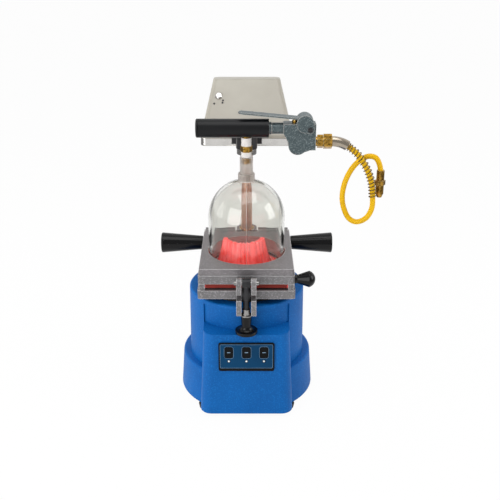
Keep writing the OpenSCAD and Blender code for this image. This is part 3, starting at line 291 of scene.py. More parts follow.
# Yellow brass of the fittings, machined and a little tarnished, with painted highlights along its edges
BRASS = Finish("Brass", "#bd9240", "#7d5f28", 6, metallic=1.0, roughness=0.2, rough_spread=0.06,
               grain=Grain.TURNED_X, grain_mm=0.5, relief_mm=0.004, speck="#493a14", speck_mm=3.0,
               speck_share=0.8, edge="#f3e2ae", edge_mm=0.6)
# Die-cast zinc of the valve: blue-grey, speckled, with painted highlights along its edges
ZINC = Finish("Die_cast_zinc", "#4f5b5e", "#465255", 12, metallic=0.5, roughness=0.42, rough_spread=0.1,
              grain_mm=1.0, relief_mm=0.05, speck="#93a0a3", speck_mm=1.3, speck_share=0.6, edge="#c9c6c1", edge_mm=1.5)
# Thermoformed sheet: glossy coral red, with random lighter pink patches painted in as highlights
CORAL_SHEET = Finish("Coral_sheet", "#f52d25", "#fb5759", 15, roughness=0.3, rough_spread=0.05, grain_mm=3.0,
                     relief_mm=0.03, coat=0.8)
# Sawn edge of the sheet, painted a darker red for the shade it lies in under the upper frame, and duller than its face
CORAL_EDGE_SHADED = Finish("Coral_sheet_edge_painted_shade", "#8c2f26", "#7b271f", 9, roughness=0.7, grain=Grain.BRUSHED_X, grain_mm=0.6,
                    relief_mm=0.03, specular=0.2)
# White sealing tape wound on the threads
PTFE_TAPE = Finish("PTFE_tape", "#e6e2df", "#d6d1ce", 5, roughness=0.55, grain=Grain.TURNED_Z, grain_mm=1.1,
                   relief_mm=0.08)
# Yellow polyurethane hose, smooth and waxy
YELLOW_HOSE = Finish("Yellow_polyurethane", "#eab800", "#e2b000", 25, roughness=0.4, rough_spread=0.02,
                     grain_mm=8.0, relief_mm=0.002, specular=0.25)
# Spring wire, dark from its drawing oil
SPRING_WIRE = Finish("Spring_wire", "#7d6a45", "#5c4b2d", 9, metallic=0.8, roughness=0.35, grain_mm=0.6,
                     relief_mm=0.006)
# Warm light grey enamel of the heater hood
HOOD_ENAMEL = Finish("Enamel_warm_grey", "#aeaa9f", "#a6a196", 60, roughness=0.36, grain_mm=1.1, relief_mm=0.02)
# Polished rim and reflector of the heater
POLISHED_STEEL = Finish("Polished_steel", "#cfcdca", "#c4c2bf", 40, metallic=1.0, roughness=0.16,
                        grain=Grain.BRUSHED_X, grain_mm=0.8, relief_mm=0.004)
# Scaled sheath of the heater rod
INCOLOY = Finish("Oxidised_sheath", "#3c302b", "#54423a", 9, metallic=0.7, roughness=0.55, grain_mm=0.8,
                 relief_mm=0.04)
# Unglazed ceramic supports
CERAMIC = Finish("Ceramic", "#dcd6c8", "#cfc8b8", 8, roughness=0.7, grain_mm=0.6, relief_mm=0.02)
# Green board behind the panel
SOLDER_RESIST = Finish("Solder_resist", "#0d5a2c", "#0a4d25", 14, roughness=0.35, grain_mm=0.8, relief_mm=0.01)
# Frosted lamp lenses
LENS = Finish("Frosted_lens", "#f2f6f8", "#e4ebf0", 3, roughness=0.3, grain_mm=0.5, relief_mm=0.01)
# Clear bell, faintly warm
ACRYLIC = ClearPlastic("Clear_acrylic", "#eeeeea", "#e8e8e3")
# Thicker, greyer plastic of the neck
ACRYLIC_NECK = ClearPlastic("Clear_acrylic_neck", "#ebe7e3", "#e0dbd6", roughness=0.42)
# Soft seal under the bell's rim: cloudy, so the sheet below it shows through
SILICONE = ClearPlastic("Silicone_translucent", "#ece6e3", "#ded7d3", roughness=0.4, ior=1.41)
# Raised parting line of the bell, a little frosted
ACRYLIC_SEAM = ClearPlastic("Clear_acrylic_seam", "#f6f4f2", "#efedea", roughness=0.3)


def only(*objs: Object) -> None:
    """Selects these objects alone and makes the first of them active."""
    bpy.ops.object.select_all(action="DESELECT")
    for obj in objs:
        obj.select_set(True)
    bpy.context.view_layer.objects.active = objs[0]


@contextmanager
def editing(obj: Object, mode: str = "FACE") -> Iterator[None]:
    """Opens an object in edit mode.

    Args:
        obj: the mesh object.
        mode: what is selected there, VERT, EDGE or FACE.
    """
    only(obj)
    bpy.ops.object.mode_set(mode="EDIT")
    bpy.context.tool_settings.mesh_select_mode = tuple(mode == name for name in ("VERT", "EDGE", "FACE"))
    yield
    bpy.ops.object.mode_set(mode="OBJECT")


def pick_edges(obj: Object, test: Callable[[Vector, Vector], bool]) -> None:
    """Selects edges of a mesh in edit mode.

    Args:
        obj: the object in edit mode.
        test: says of an edge's middle and its direction whether it is taken.
    """
    bpy.ops.mesh.select_all(action="DESELECT")
    mesh = bmesh.from_edit_mesh(obj.data)
    for edge in mesh.edges:
        low, high = edge.verts[0].co, edge.verts[1].co
        if test((low + high) / 2, (high - low).normalized()):
            edge.select_set(True)
    mesh.select_flush_mode()
    bmesh.update_edit_mesh(obj.data)


def new_mesh(name: str, points: Sequence[Sequence[float]], edges: Sequence[Sequence[int]] = (),
             faces: Sequence[Sequence[int]] = ()) -> Object:
    """Makes a mesh object from points, and links it to the scene.

    Args:
        name: the piece's name.
        points: its vertices.
        edges: pairs of vertex numbers.
        faces: vertex numbers of each face.

    Returns:
        The new object.
    """
    mesh = bpy.data.meshes.new(name)
    mesh.from_pydata([tuple(p) for p in points], [tuple(e) for e in edges], [tuple(f) for f in faces])
    obj = bpy.data.objects.new(name, mesh)
    bpy.context.scene.collection.objects.link(obj)
    return obj


def fillet(corners: Sequence[Corner], steps: int = 6, closed: bool = False) -> Outline:
    """Rounds the corners of an outline.

    Args:
        corners: the place of each corner and its radius.
        steps: the sides of each rounded corner.
        closed: whether the last corner joins the first.

    Returns:
        The points of the rounded outline.
    """
    points: Outline = []
    last = len(corners) - 1
    for i, (x, y, radius) in enumerate(corners):
        here = Vector((x, y))
        if radius <= 0 or (not closed and i in (0, last)):
            points.append((x, y))
            continue
        back = Vector(corners[i - 1][:2]) - here
        ahead = Vector(corners[(i + 1) % (last + 1)][:2]) - here
        half = back.angle(ahead) / 2
        reach = min(radius / math.tan(half), 0.49 * back.length, 0.49 * ahead.length)
        middle = here + (back.normalized() + ahead.normalized()).normalized() * (reach / math.cos(half))
        start, end = here + back.normalized() * reach - middle, here + ahead.normalized() * reach - middle
        turn = start.angle(end)
        for k in range(steps + 1):
            t = k / steps
            spoke = (start * math.sin((1 - t) * turn) + end * math.sin(t * turn)) / math.sin(turn)
            points.append(tuple(middle + spoke))
    return points


def rectangle(width: float, height: float, radius: float, steps: int = 6) -> Outline:
    """A rounded rectangle about the origin, counter-clockwise."""
    x, y = width / 2, height / 2
    return fillet([(-x, -y, radius), (x, -y, radius), (x, y, radius), (-x, y, radius)], steps, closed=True)


def apply_modifiers(obj: Object) -> None:
    """Applies an object's modifiers in their order."""
    only(obj)
    for name in [m.name for m in obj.modifiers]:
        bpy.ops.object.modifier_apply(modifier=name)


def ease(obj: Object, width: float, segments: int = 3, sharp: float = 32.0) -> None:
    """Rounds an object's sharp edges with an applied bevel.

    Args:
        obj: the mesh object.
        width: width of the rounding.
        segments: faces across it.
        sharp: the least angle of an edge that is rounded, in degrees.
    """
    bevel = obj.modifiers.new("ease", "BEVEL")
    bevel.width = width
    bevel.segments = segments
    bevel.limit_method = "ANGLE"
    bevel.angle_limit = math.radians(sharp)
    bevel.use_clamp_overlap = True
    apply_modifiers(obj)


def prism(name: str, outline: Outline, depth: float, edge: float = 0.0, place: Matrix = UPRIGHT) -> Object:
    """Extrudes an outline along Z.

    Args:
        name: the piece's name.
        outline: the closed outline in X and Y.
        depth: the height of the extrusion.
        edge: width of the rounding of its sharp edges.
        place: where the finished prism goes.

    Returns:
        The new object.
    """
    obj = new_mesh(name, [(x, y, 0.0) for x, y in outline], (), [range(len(outline))])
    with editing(obj):
        bpy.ops.mesh.select_all(action="SELECT")
        bpy.ops.mesh.extrude_region_move(TRANSFORM_OT_translate={"value": (0.0, 0.0, depth)})
        bpy.ops.mesh.select_all(action="SELECT")
        bpy.ops.mesh.normals_make_consistent(inside=False)
    if edge:
        ease(obj, edge)
    obj.data.transform(place)
    return obj


def lathe(name: str, outline: Outline, place: Matrix = UPRIGHT, steps: int = 96, closed: bool = False) -> Object:
    """Spins an outline about the Z axis.

    Args:
        name: the piece's name.
        outline: radius and height of each point.
        place: where the finished piece goes.
        steps: sides of the round.
        closed: whether the outline's last point joins its first.

    Returns:
        The new object.
    """
    count = len(outline)
    edges = [(i, i + 1) for i in range(count - 1)] + ([(count - 1, 0)] if closed else [])
    obj = new_mesh(name, [(r, 0.0, h) for r, h in outline], edges)
    with editing(obj, "VERT"):
        bpy.ops.mesh.select_all(action="SELECT")
        bpy.ops.mesh.spin(steps=steps, angle=2 * math.pi, center=(0, 0, 0), axis=(0, 0, 1))
        bpy.ops.mesh.select_all(action="SELECT")
        bpy.ops.mesh.remove_doubles(threshold=0.001)
        bpy.ops.mesh.normals_make_consistent(inside=False)
    obj.data.transform(place)
    return obj


def loft(name: str, rings: Sequence[Sequence[Point]], lid: bool = False) -> Object:
    """Joins rings of equally many points with a skin.

    Args:
        name: the piece's name.
        rings: the closed rings, in their order.
        lid: whether the last ring is closed with a face.

    Returns:
        The new object.
    """
    count = len(rings[0])
    faces = [(k * count + i, k * count + (i + 1) % count, (k + 1) * count + (i + 1) % count, (k + 1) * count + i)
             for k in range(len(rings) - 1) for i in range(count)]
    if lid:
        faces.append(tuple(range((len(rings) - 1) * count, len(rings) * count)))
    obj = new_mesh(name, [point for ring in rings for point in ring], (), faces)
    with editing(obj):
        bpy.ops.mesh.select_all(action="SELECT")
        bpy.ops.mesh.normals_make_consistent(inside=False)
    return obj


def wire(name: str, points: Sequence[Vector], radius: float) -> Object:
    """Makes a round curve with closed ends through points.

    Args:
        name: the object's name.
        points: its points.
        radius: its radius, in the points' unit.

    Returns:
        The curve object.
    """
    data = bpy.data.curves.new(name, "CURVE")
    data.dimensions = "3D"
    data.bevel_depth = radius
    data.bevel_resolution = 5
    data.use_fill_caps = True
    line = data.splines.new("POLY")
    line.points.add(len(points) - 1)
    for knot, point in zip(line.points, points):
        knot.co = (*point, 1.0)
    line.use_smooth = True
    obj = bpy.data.objects.new(name, data)
    bpy.context.scene.collection.objects.link(obj)
    return obj


def cut(obj: Object, tool: Object) -> None:
    """Cuts one object with another, which is used up.

    Args:
        obj: the object that stays.
        tool: the object that cuts.
    """
    boolean = obj.modifiers.new("cut", "BOOLEAN")
    boolean.operation = "DIFFERENCE"
    boolean.solver = "EXACT"
    boolean.object = tool
    apply_modifiers(obj)
    bpy.data.objects.remove(tool)


def join(*objs: Object) -> Object:
    """Joins several objects into the first of them."""
    only(*objs)
    bpy.ops.object.join()
    return objs[0]


def cad_copy(node: str, name: str, width: float = 0.0, segments: int = 3) -> Object:
    """Copies a CAD node's mesh as one closed skin, and rounds its edges.

    Args:
        node: the CAD node.
        name: the new piece's name.
        width: width of the rounding, or 0 for none.
        segments: faces across it.

    Returns:
        The new object, in millimetres.
    """
    obj = bpy.data.objects.new(name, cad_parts[node].data.copy())
    bpy.context.scene.collection.objects.link(obj)
    obj.data.transform(TO_MILLIMETRES)
    with editing(obj, "VERT"):
        bpy.ops.mesh.customdata_custom_splitnormals_clear()
        bpy.ops.mesh.select_all(action="SELECT")
        bpy.ops.mesh.remove_doubles(threshold=0.002)
        bpy.ops.mesh.dissolve_limited(angle_limit=math.radians(0.4))
        bpy.ops.mesh.normals_make_consistent(inside=False)
    if width:
        ease(obj, width, segments)
    return obj


@dataclass
class Wear:
    """What a finished piece is made of, what it rides on and which CAD nodes it stands for."""

    body: str
    finish: Finish | ClearPlastic
    slot: str

    def settle(self, obj: Object, *nodes: str, smooth: float = 35.0) -> Object:
        """Finishes a piece: metres, shading, material, body and replaced nodes.

        Args:
            obj: the piece, in millimetres.
            nodes: the CAD nodes that it stands for.
            smooth: edges flatter than this many degrees are shaded smooth.

        Returns:
            The piece.
        """
        obj.data.transform(TO_METRES)
        only(obj)
        bpy.ops.object.shade_smooth_by_angle(angle=math.radians(smooth))
        even = obj.modifiers.new("even_shading", "WEIGHTED_NORMAL")
        even.keep_sharp = True
        apply_modifiers(obj)
        obj.data.materials.clear()
        obj.data.materials.append(self.finish.material())
        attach(obj, self.body)
        if nodes:
            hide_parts(*nodes)
        LOG.info("%s: %d faces on %s", obj.name, len(obj.data.polygons), self.body)
        return obj

    def copy(self, node: str, name: str, width: float, segments: int = 3) -> Object:
        """Settles a copy of a CAD node with rounded edges, which stands for that node.

        Args:
            node: the CAD node.
            name: the piece's name.
            width: width of the rounding, in millimetres.
            segments: faces across it.

        Returns:
            The piece.
        """
        return self.settle(cad_copy(node, name, width, segments), node)


def paint_nodes(finish: Finish | ClearPlastic, *nodes: str) -> None:
    """Gives CAD nodes that stay in view a finish.

    Args:
        finish: the finish.
        nodes: the CAD nodes.
    """
    for name in nodes:
        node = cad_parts[name]
        if not node.material_slots:
            node.data.materials.append(None)
        for slot in node.material_slots:
            slot.material = finish.material()
        LOG.info("%s: %s", name, finish.name)


@dataclass
class Stage:
    """Camera, floor, world and lamps of a pale product studio."""

    camera_at: Point = (5.2, -1097.2, 682.9)
    camera_tilt: float = 67.5
    lens: float = 56.567
    floor_size: float = 40.0
    floor_white: float = 0.96
    floor_fade: tuple[float, float] = (0.4, 0.85)
    floor_aside: float = 0.3
    room: tuple[float, float] = (0.3, 0.9)
    front_mirrored: float = 0.45
    front_through: float = 1.5

    def build(self) -> None:
        """Makes the camera first, then what lights the object."""
        scene = bpy.context.scene
        scene.view_settings.view_transform = "Standard"
        data = bpy.data.cameras.new("camera")
        data.sensor_width = 36.0
        data.lens = self.lens
        camera = bpy.data.objects.new("camera", data)
        camera.location = metres(*self.camera_at)
        camera.rotation_euler = (math.radians(self.camera_tilt), 0.0, 0.0)
        scene.collection.objects.link(camera)
        scene.camera = camera
        self.floor()
        self.world()
        self.softbox("softbox_left", (-0.95, -1.2, 0.62), (0.0, 0.0, 0.24), 1.1, 1.4, 15.0)
        self.softbox("softbox_side", (-1.5, 0.05, 0.6), (0.0, 0.0, 0.2), 0.7, 0.9, 5.0, mirrored=False)
        self.softbox("softbox_right", (1.3, -0.2, 0.62), (0.0, 0.0, 0.26), 0.6, 0.9, 5.5)
        self.softbox("softbox_top", (0.1, -0.35, 1.7), (0.0, 0.0, 0.2), 1.2, 1.0, 9.0)

    def floor(self) -> None:
        """Makes a white floor that keeps a faint shadow."""
        half = self.floor_size / 2
        plane = new_mesh("floor", [(-half, -half, 0), (half, -half, 0), (half, half, 0), (-half, half, 0)], (),
                         [(0, 1, 2, 3)])
        material = bpy.data.materials.new("White_paper")
        material.use_nodes = True
        tree = material.node_tree
        tree.nodes.clear()
        path = add_node(tree, "ShaderNodeLightPath")
        seen = self.seen(tree, path)
        share = add_node(tree, "ShaderNodeMath", {"operation": "MULTIPLY"}, {0: seen.outputs[0], 1: self.floor_white})
        spot = add_node(tree, "ShaderNodeSeparateXYZ", None,
                        {0: add_node(tree, "ShaderNodeNewGeometry").outputs["Position"]})
        aside = add_node(tree, "ShaderNodeMath", {"operation": "ABSOLUTE"}, {0: spot.outputs["X"]})
        edge = add_node(tree, "ShaderNodeMapRange", None, {0: aside.outputs[0], 1: self.floor_fade[0],
                                                           2: self.floor_fade[1], 3: 1.0, 4: self.floor_aside})
        level = add_node(tree, "ShaderNodeMix", {"data_type": "FLOAT"},
                         {0: path.outputs["Is Camera Ray"], 2: edge.outputs[0], 3: 1.0})
        paper = add_node(tree, "ShaderNodeBsdfDiffuse", None, {"Color": linear("#efefee")})
        glow = add_node(tree, "ShaderNodeEmission", None, {"Color": (1, 1, 1, 1), "Strength": level.outputs[0]})
        mixed = add_node(tree, "ShaderNodeMixShader", None,
                         {0: share.outputs[0], 1: paper.outputs[0], 2: glow.outputs[0]})
        add_node(tree, "ShaderNodeOutputMaterial", None, {"Surface": mixed.outputs[0]})
        plane.data.materials.append(material)

    def seen(self, tree: bpy.types.NodeTree, path: bpy.types.Node) -> bpy.types.Node:
        """Adds a node that is 1 for rays that show the background, directly or in metal and glass.

        Args:
            tree: the node tree.
            path: its Light Path node.

        Returns:
            The node with the answer.
        """
        mirrored = add_node(tree, "ShaderNodeMath", {"operation": "MAXIMUM"},
                            {0: path.outputs["Is Glossy Ray"], 1: path.outputs["Is Transmission Ray"]})
        return add_node(tree, "ShaderNodeMath", {"operation": "MAXIMUM"},
                        {0: path.outputs["Is Camera Ray"], 1: mirrored.outputs[0]})

    def world(self) -> None:
        """Makes a world that is white where it is seen and dimmer on the side of the camera."""
        world = bpy.data.worlds.new("studio")
        bpy.context.scene.world = world
        world.use_nodes = True
        tree = world.node_tree
        tree.nodes.clear()
        path = add_node(tree, "ShaderNodeLightPath")
        seen = self.seen(tree, path)
        way = add_node(tree, "ShaderNodeTexCoord").outputs["Generated"]
        across = add_node(tree, "ShaderNodeSeparateXYZ", None, {0: way})
        room = add_node(tree, "ShaderNodeMapRange", None,
                        {0: across.outputs["Y"], 1: -0.5, 2: 0.6, 3: self.room[0], 4: self.room[1]})
        front = add_node(tree, "ShaderNodeMix", {"data_type": "FLOAT"},
                         {0: path.outputs["Is Transmission Ray"], 2: self.front_mirrored, 3: self.front_through})
        backdrop = add_node(tree, "ShaderNodeMapRange", None,
                            {0: across.outputs["Y"], 1: -0.2, 2: 0.3, 3: front.outputs[0], 4: 1.0})
        shown = add_node(tree, "ShaderNodeMix", {"data_type": "FLOAT"},
                         {0: path.outputs["Is Camera Ray"], 2: backdrop.outputs[0], 3: 1.0})
        level = add_node(tree, "ShaderNodeMix", {"data_type": "FLOAT"},
                         {0: seen.outputs[0], 2: room.outputs[0], 3: shown.outputs[0]})
        light = add_node(tree, "ShaderNodeBackground", None,
                         {"Color": (1, 1, 1, 1), "Strength": level.outputs[0]})
        add_node(tree, "ShaderNodeOutputWorld", None, {"Surface": light.outputs[0]})

    def softbox(self, name: str, at: Point, towards: Point, width: float, height: float, watts: float,
                mirrored: bool = True) -> None:
        """Adds a rectangular lamp.

        Args:
            name: the lamp's name.
            at: its place, in metres.
            towards: the point that it faces, in metres.
            width: its width in metres.
            height: its height in metres.
            watts: its power.
            mirrored: whether glossy pieces mirror it.
        """
        data = bpy.data.lights.new(name, "AREA")
        data.shape = "RECTANGLE"
        data.size, data.size_y = width, height
        data.energy = watts
        lamp = bpy.data.objects.new(name, data)
        lamp.location = at
        lamp.visible_glossy = mirrored
        lamp.rotation_euler = (Vector(towards) - Vector(at)).to_track_quat("-Z", "Y").to_euler()
        bpy.context.scene.collection.objects.link(lamp)


@dataclass
class AirHose:
    """Yellow hose that hangs from its bent sleeve, with a spring guard and a plug."""

    sleeve_end: Point = (144.875, 0.0, 389.924)
    radius: float = 4.0
    guard_radius: float = 5.4
    guard_wire: float = 0.7
    guard_turns: int = 17
    guard_span: float = 4.0
    length: float = 306.6
    body: str = "bell"
    route: tuple[Point, ...] = (
        (0, 0, 0), (15, -3, -12), (28, -7, -31), (36, -9, -52), (39, -9, -73), (39, -8, -92), (32, -5, -108),
        (19, 0, -116), (7, 4, -111), (-1, 7, -94), (-3, 9, -76), (1, 10, -55), (10, 10, -36), (21, 10, -24),
        (32, 9, -18), (43, 8, -20), (49, 7, -30), (51, 6, -41), (51, 6, -50))

    def at(self, u: float) -> Vector:
        """The route's point at station u, in millimetres."""
        points = [Vector(self.sleeve_end) + Vector(p) for p in self.route]
        last = len(points) - 1
        i = min(int(u), last - 1)
        t = u - i
        a, b, c, d = points[max(i - 1, 0)], points[i], points[i + 1], points[min(i + 2, last)]
        return (2 * b + (c - a) * t + (2 * a - 5 * b + 4 * c - d) * t ** 2 + (3 * b - a - 3 * c + d) * t ** 3) / 2

    def way(self, u: float) -> Vector:
        """The route's direction at station u."""
        last = len(self.route) - 1
        return (self.at(min(u + 0.01, last)) - self.at(max(u - 0.01, 0))).normalized()

    def tube(self, name: str, points: Sequence[Vector], radius: float, finish: Finish) -> Object:
        """Makes a round curve through points.

        Args:
            name: the piece's name.
            points: its points in millimetres.
            radius: its radius in millimetres.
            finish: its finish.

        Returns:
            The curve object.
        """
        obj = wire(name, [point * 0.001 for point in points], radius / 1000)
        obj.data.materials.append(finish.material())
        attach(obj, self.body)
        LOG.info("%s: %d points on %s", name, len(points), self.body)
        return obj

    def build(self) -> None:
        last = len(self.route) - 1
        hose = self.tube("hose", [self.at(k / 10) for k in range(last * 10 + 1)], self.radius, YELLOW_HOSE)
        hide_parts("air_hose")
        coils = []
        steps = self.guard_turns * 20
        for k in range(steps + 1):
            u = self.guard_span * k / steps
            along = self.way(u)
            side = (Vector((0, 1, 0)) - along.y * along).normalized()
            angle = 2 * math.pi * k / 20
            spoke = math.cos(angle) * side + math.sin(angle) * along.cross(side)
            coils.append(self.at(u) + self.guard_radius * spoke + 2 * self.guard_wire * along)
        guard = self.tube("guard_wire", coils, self.guard_wire, SPRING_WIRE)
        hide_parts("spring_guard")
        plug = Wear(self.body, BRASS, "brass").copy("hose_plug", "plug_turned", 0.5, 2)
        Wear(self.body, BRASS, "brass").copy("hose_fitting", "fitting_nuts", 0.7)
        Wear(self.body, NICKEL, "steel").copy("hose_sleeve", "sleeve_bent", 0.7)


@dataclass
class BaseShell:
    """Blue moulded base with its feet, bottom cover, platform and post."""

    recess_x: float = 62.7
    recess_z: tuple[float, float] = (140.0, 167.0)
    recess_edge: float = 1.3
    shell_edge: float = 1.2
    body: str = "base"

    def beside_recess(self, at: Vector, way: Vector) -> bool:
        """Whether an edge with this middle and direction is an upright edge of the recess in front."""
        upright = abs(way.z) > 0.9 and self.recess_z[0] < at.z < self.recess_z[1]
        return upright and at.y < -50 and abs(abs(at.x) - self.recess_x) < 0.4

    def build(self) -> None:
        """Makes the visible shell and paints what stays."""
        blue = Wear(self.body, BLUE_ABS, "blue_housing")
        shell = cad_copy("base_housing", "housing_shell")
        with editing(shell, "EDGE"):
            pick_edges(shell, self.beside_recess)
            bpy.ops.mesh.bevel(offset=self.recess_edge, segments=4, affect="EDGES", clamp_overlap=True)
        ease(shell, self.shell_edge)
        blue.settle(shell, "base_housing")
        rubber = Wear(self.body, RUBBER, "black_rubber")
        rubber.copy("base_feet", "feet_rubber", 1.0)
        rubber.copy("platform_seal", "seal_platform", 1.0)
        Wear(self.body, BLACK_ABS, "black_plastic").copy("cord_gland", "gland_moulded", 0.8)
        Wear(self.body, PHENOLIC, "black_plastic").copy("post_cap", "cap_moulded", 0.4, 2)
        Wear(self.body, STEEL, "steel").copy("swivel_stop", "stop_ring", 0.8)
        Wear(self.body, STEEL, "steel").copy("vacuum_plate", "platform_plate", 0.5, 2)
        # The post's copper tone is a painted warm reflection
        paint_nodes(WARM_TINTED_STEEL, "slide_post")
        paint_nodes(BLACK_STEEL, "bottom_plate", "bottom_screws")
        paint_nodes(RUBBER, "motor_mount", "motor_seal")
        paint_nodes(STEEL, "vacuum_motor")


@dataclass
class ControlPanel:
    """Panel on the console: bezel, printed film, three buttons and three lamps."""

    body: str = "base"
    middle: Point = (0.0, -102.386, 103.5)
    lean: float = 2.467
    width: float = 81.0
    height: float = 45.0
    thickness: float = 2.5
    film_t: float = 0.25
    film_up: float = 1.4
    pitch: float = 25.5
    button_up: float = 7.5
    button_w: float = 12.0
    button_h: float = 17.5
    button_top: float = 3.6
    lamp_down: float = 6.5
    line: float = 0.3
    line_t: float = 0.06

    def place(self, x: float, y: float, z: float) -> Matrix:
        """A place on the panel, X right, Y up its face and Z out of it."""
        face = Matrix.Translation(self.middle) @ Matrix.Rotation(math.radians(90 - self.lean), 4, "X")
        return face @ Matrix.Translation((x, y, z))

    def frame_line(self, name: str, width: float, height: float, radius: float, place: Matrix) -> Object:
        """A thin printed line round a rounded rectangle.

        Args:
            name: the piece's name.
            width: outer width.
            height: outer height.
            radius: outer corner radius.
            place: where it goes.

        Returns:
            The new object.
        """
        outer = prism(name, rectangle(width, height, radius), self.line_t)
        hole = rectangle(width - 2 * self.line, height - 2 * self.line, max(radius - self.line, 0.2))
        cut(outer, prism(name + "_inside", hole, 3 * self.line_t, place=Matrix.Translation((0, 0, -self.line_t))))
        outer.data.transform(place)
        return outer

    def build(self) -> None:
        """Makes the panel's pieces."""
        Wear(self.body, BLACK_KEYS, "black_plastic").copy("control_panel", "panel_bezel", 0.7)
        film = prism("panel_film", rectangle(self.width - 4.0, self.height - 6.4, 2.0), self.film_t)
        for i in (-1, 0, 1):
            hole = prism("hole", rectangle(self.button_w + 0.6, self.button_h + 0.6, 3.2), 4.0, 0.0,
                         Matrix.Translation((i * self.pitch, self.button_up - self.film_up, -2.0)))
            cut(film, hole)
            lamp = lathe("hole", [(0, -2), (2.3, -2), (2.3, 2), (0, 2)],
                         Matrix.Translation((i * self.pitch, -self.lamp_down - self.film_up, 0)), 32)
            cut(film, lamp)
        film.data.transform(self.place(0, self.film_up, self.thickness))
        Wear(self.body, BLUE_FILM, "blue_housing").settle(film)
        printed = Wear(self.body, PALE_PRINT, "white_tape")
        top = self.thickness + self.film_t
        printed.settle(self.frame_line("panel_border", self.width - 4.6, self.height - 7.0, 1.8,
                                       self.place(0, self.film_up, top)))
        lenses = []
        for side, i in (("left", -1), ("centre", 0), ("right", 1)):
            at = i * self.pitch
            printed.settle(self.frame_line(f"button_{side}_outline", self.button_w + 1.9, self.button_h + 1.9, 3.8,
                                           self.place(at, self.button_up, top)))
            cap = prism(f"button_{side}_cap", rectangle(self.button_w, self.button_h, 3.0), self.button_top + 1.2,
                        0.6, self.place(at, self.button_up, -1.2))
            Wear(f"button_{side}", BLACK_KEYS, "black_plastic").settle(cap, f"button_{side}")
            dash = prism(f"button_{side}_dash", rectangle(5.0, 1.1, 0.5), 0.05, 0.0,
                         self.place(at, self.button_up + 0.5, self.button_top))
            Wear(f"button_{side}", PALE_PRINT, "white_tape").settle(dash)
            section = fillet([(1.65, 0, 0), (1.65, 3.1, 0.2), (2.15, 3.0, 0.3), (2.15, 0, 0)], 3, True)
            ring = lathe(f"lamp_{side}_ring", section, self.place(at, -self.lamp_down, 0), 32, True)
            Wear(self.body, BLACK_KEYS, "black_plastic").settle(ring)
            lens = lathe(f"lamp_{side}_lens", [(0, 3.5), (0.6, 3.4), (1.15, 3.15), (1.5, 2.7), (1.6, 0), (0, 0)],
                         self.place(at, -self.lamp_down, 0), 32)
            lenses.append(lens)
        Wear(self.body, LENS, "lamp").settle(join(*lenses), "indicator_lamps")
        paint_nodes(SOLDER_RESIST, "control_board")


@dataclass
class ClampFrame:
    """Cast frames with their plate, hinges, grips and lifting knob."""

    plate_bore: float = 57.95
    frame_bore: float = 58.95
    bore_z: tuple[float, float, float] = (208.0, 219.9, 229.2)
    bore_skin: float = 0.04
    body: str = "carriage"

    def build(self) -> None:
        """Makes the frame's pieces."""
        cast = Wear(self.body, CAST_ALUMINIUM, "cast_frame")
        cast.copy("lower_frame", "frame_lower_cast", 1.0)
        cast.copy("upper_frame", "frame_upper_cast", 1.0)
        Wear(self.body, MILLED_ALUMINIUM, "cast_frame").copy("locating_plate", "plate_milled", 0.8)
        black = Wear(self.body, PHENOLIC, "black_plastic")
        for side in ("left", "right"):
            black.copy(f"grip_{side}", f"grip_{side}_turned", 0.8)
        black.copy("lift_knob", "lift_knob_turned", 0.5, 2)
        steel = Wear(self.body, STEEL, "steel")
        steel.copy("latch_pin", "latch_pin_turned", 0.5, 2)
        steel.copy("frame_hinge_pins", "hinge_pins_turned", 0.5, 2)
        low, step, high = self.bore_z
        skin = self.bore_skin
        face = [(self.plate_bore, high), (self.plate_bore, step + 0.3), (self.frame_bore, step),
                (self.frame_bore, low)]
        back = [(self.frame_bore + skin, low), (self.frame_bore + skin, step + skin),
                (self.plate_bore + skin, step + 0.3 + skin), (self.plate_bore + skin, high)]
        # The bore's pinkish finish holds a painted reflection of the red sheet
        bore = lathe("frame_bore", face + back, steps=160, closed=True)
        Wear(self.body, BORED_ALUMINIUM, "cast_frame").settle(bore)
        paint_nodes(STEEL, "grip_studs", "lift_knob_stud")
        paint_nodes(BLACK_STEEL, "plate_screws")
        paint_nodes(BRASS, "slide_bushing")
        paint_nodes(RUBBER, "lower_gasket", "upper_gasket")


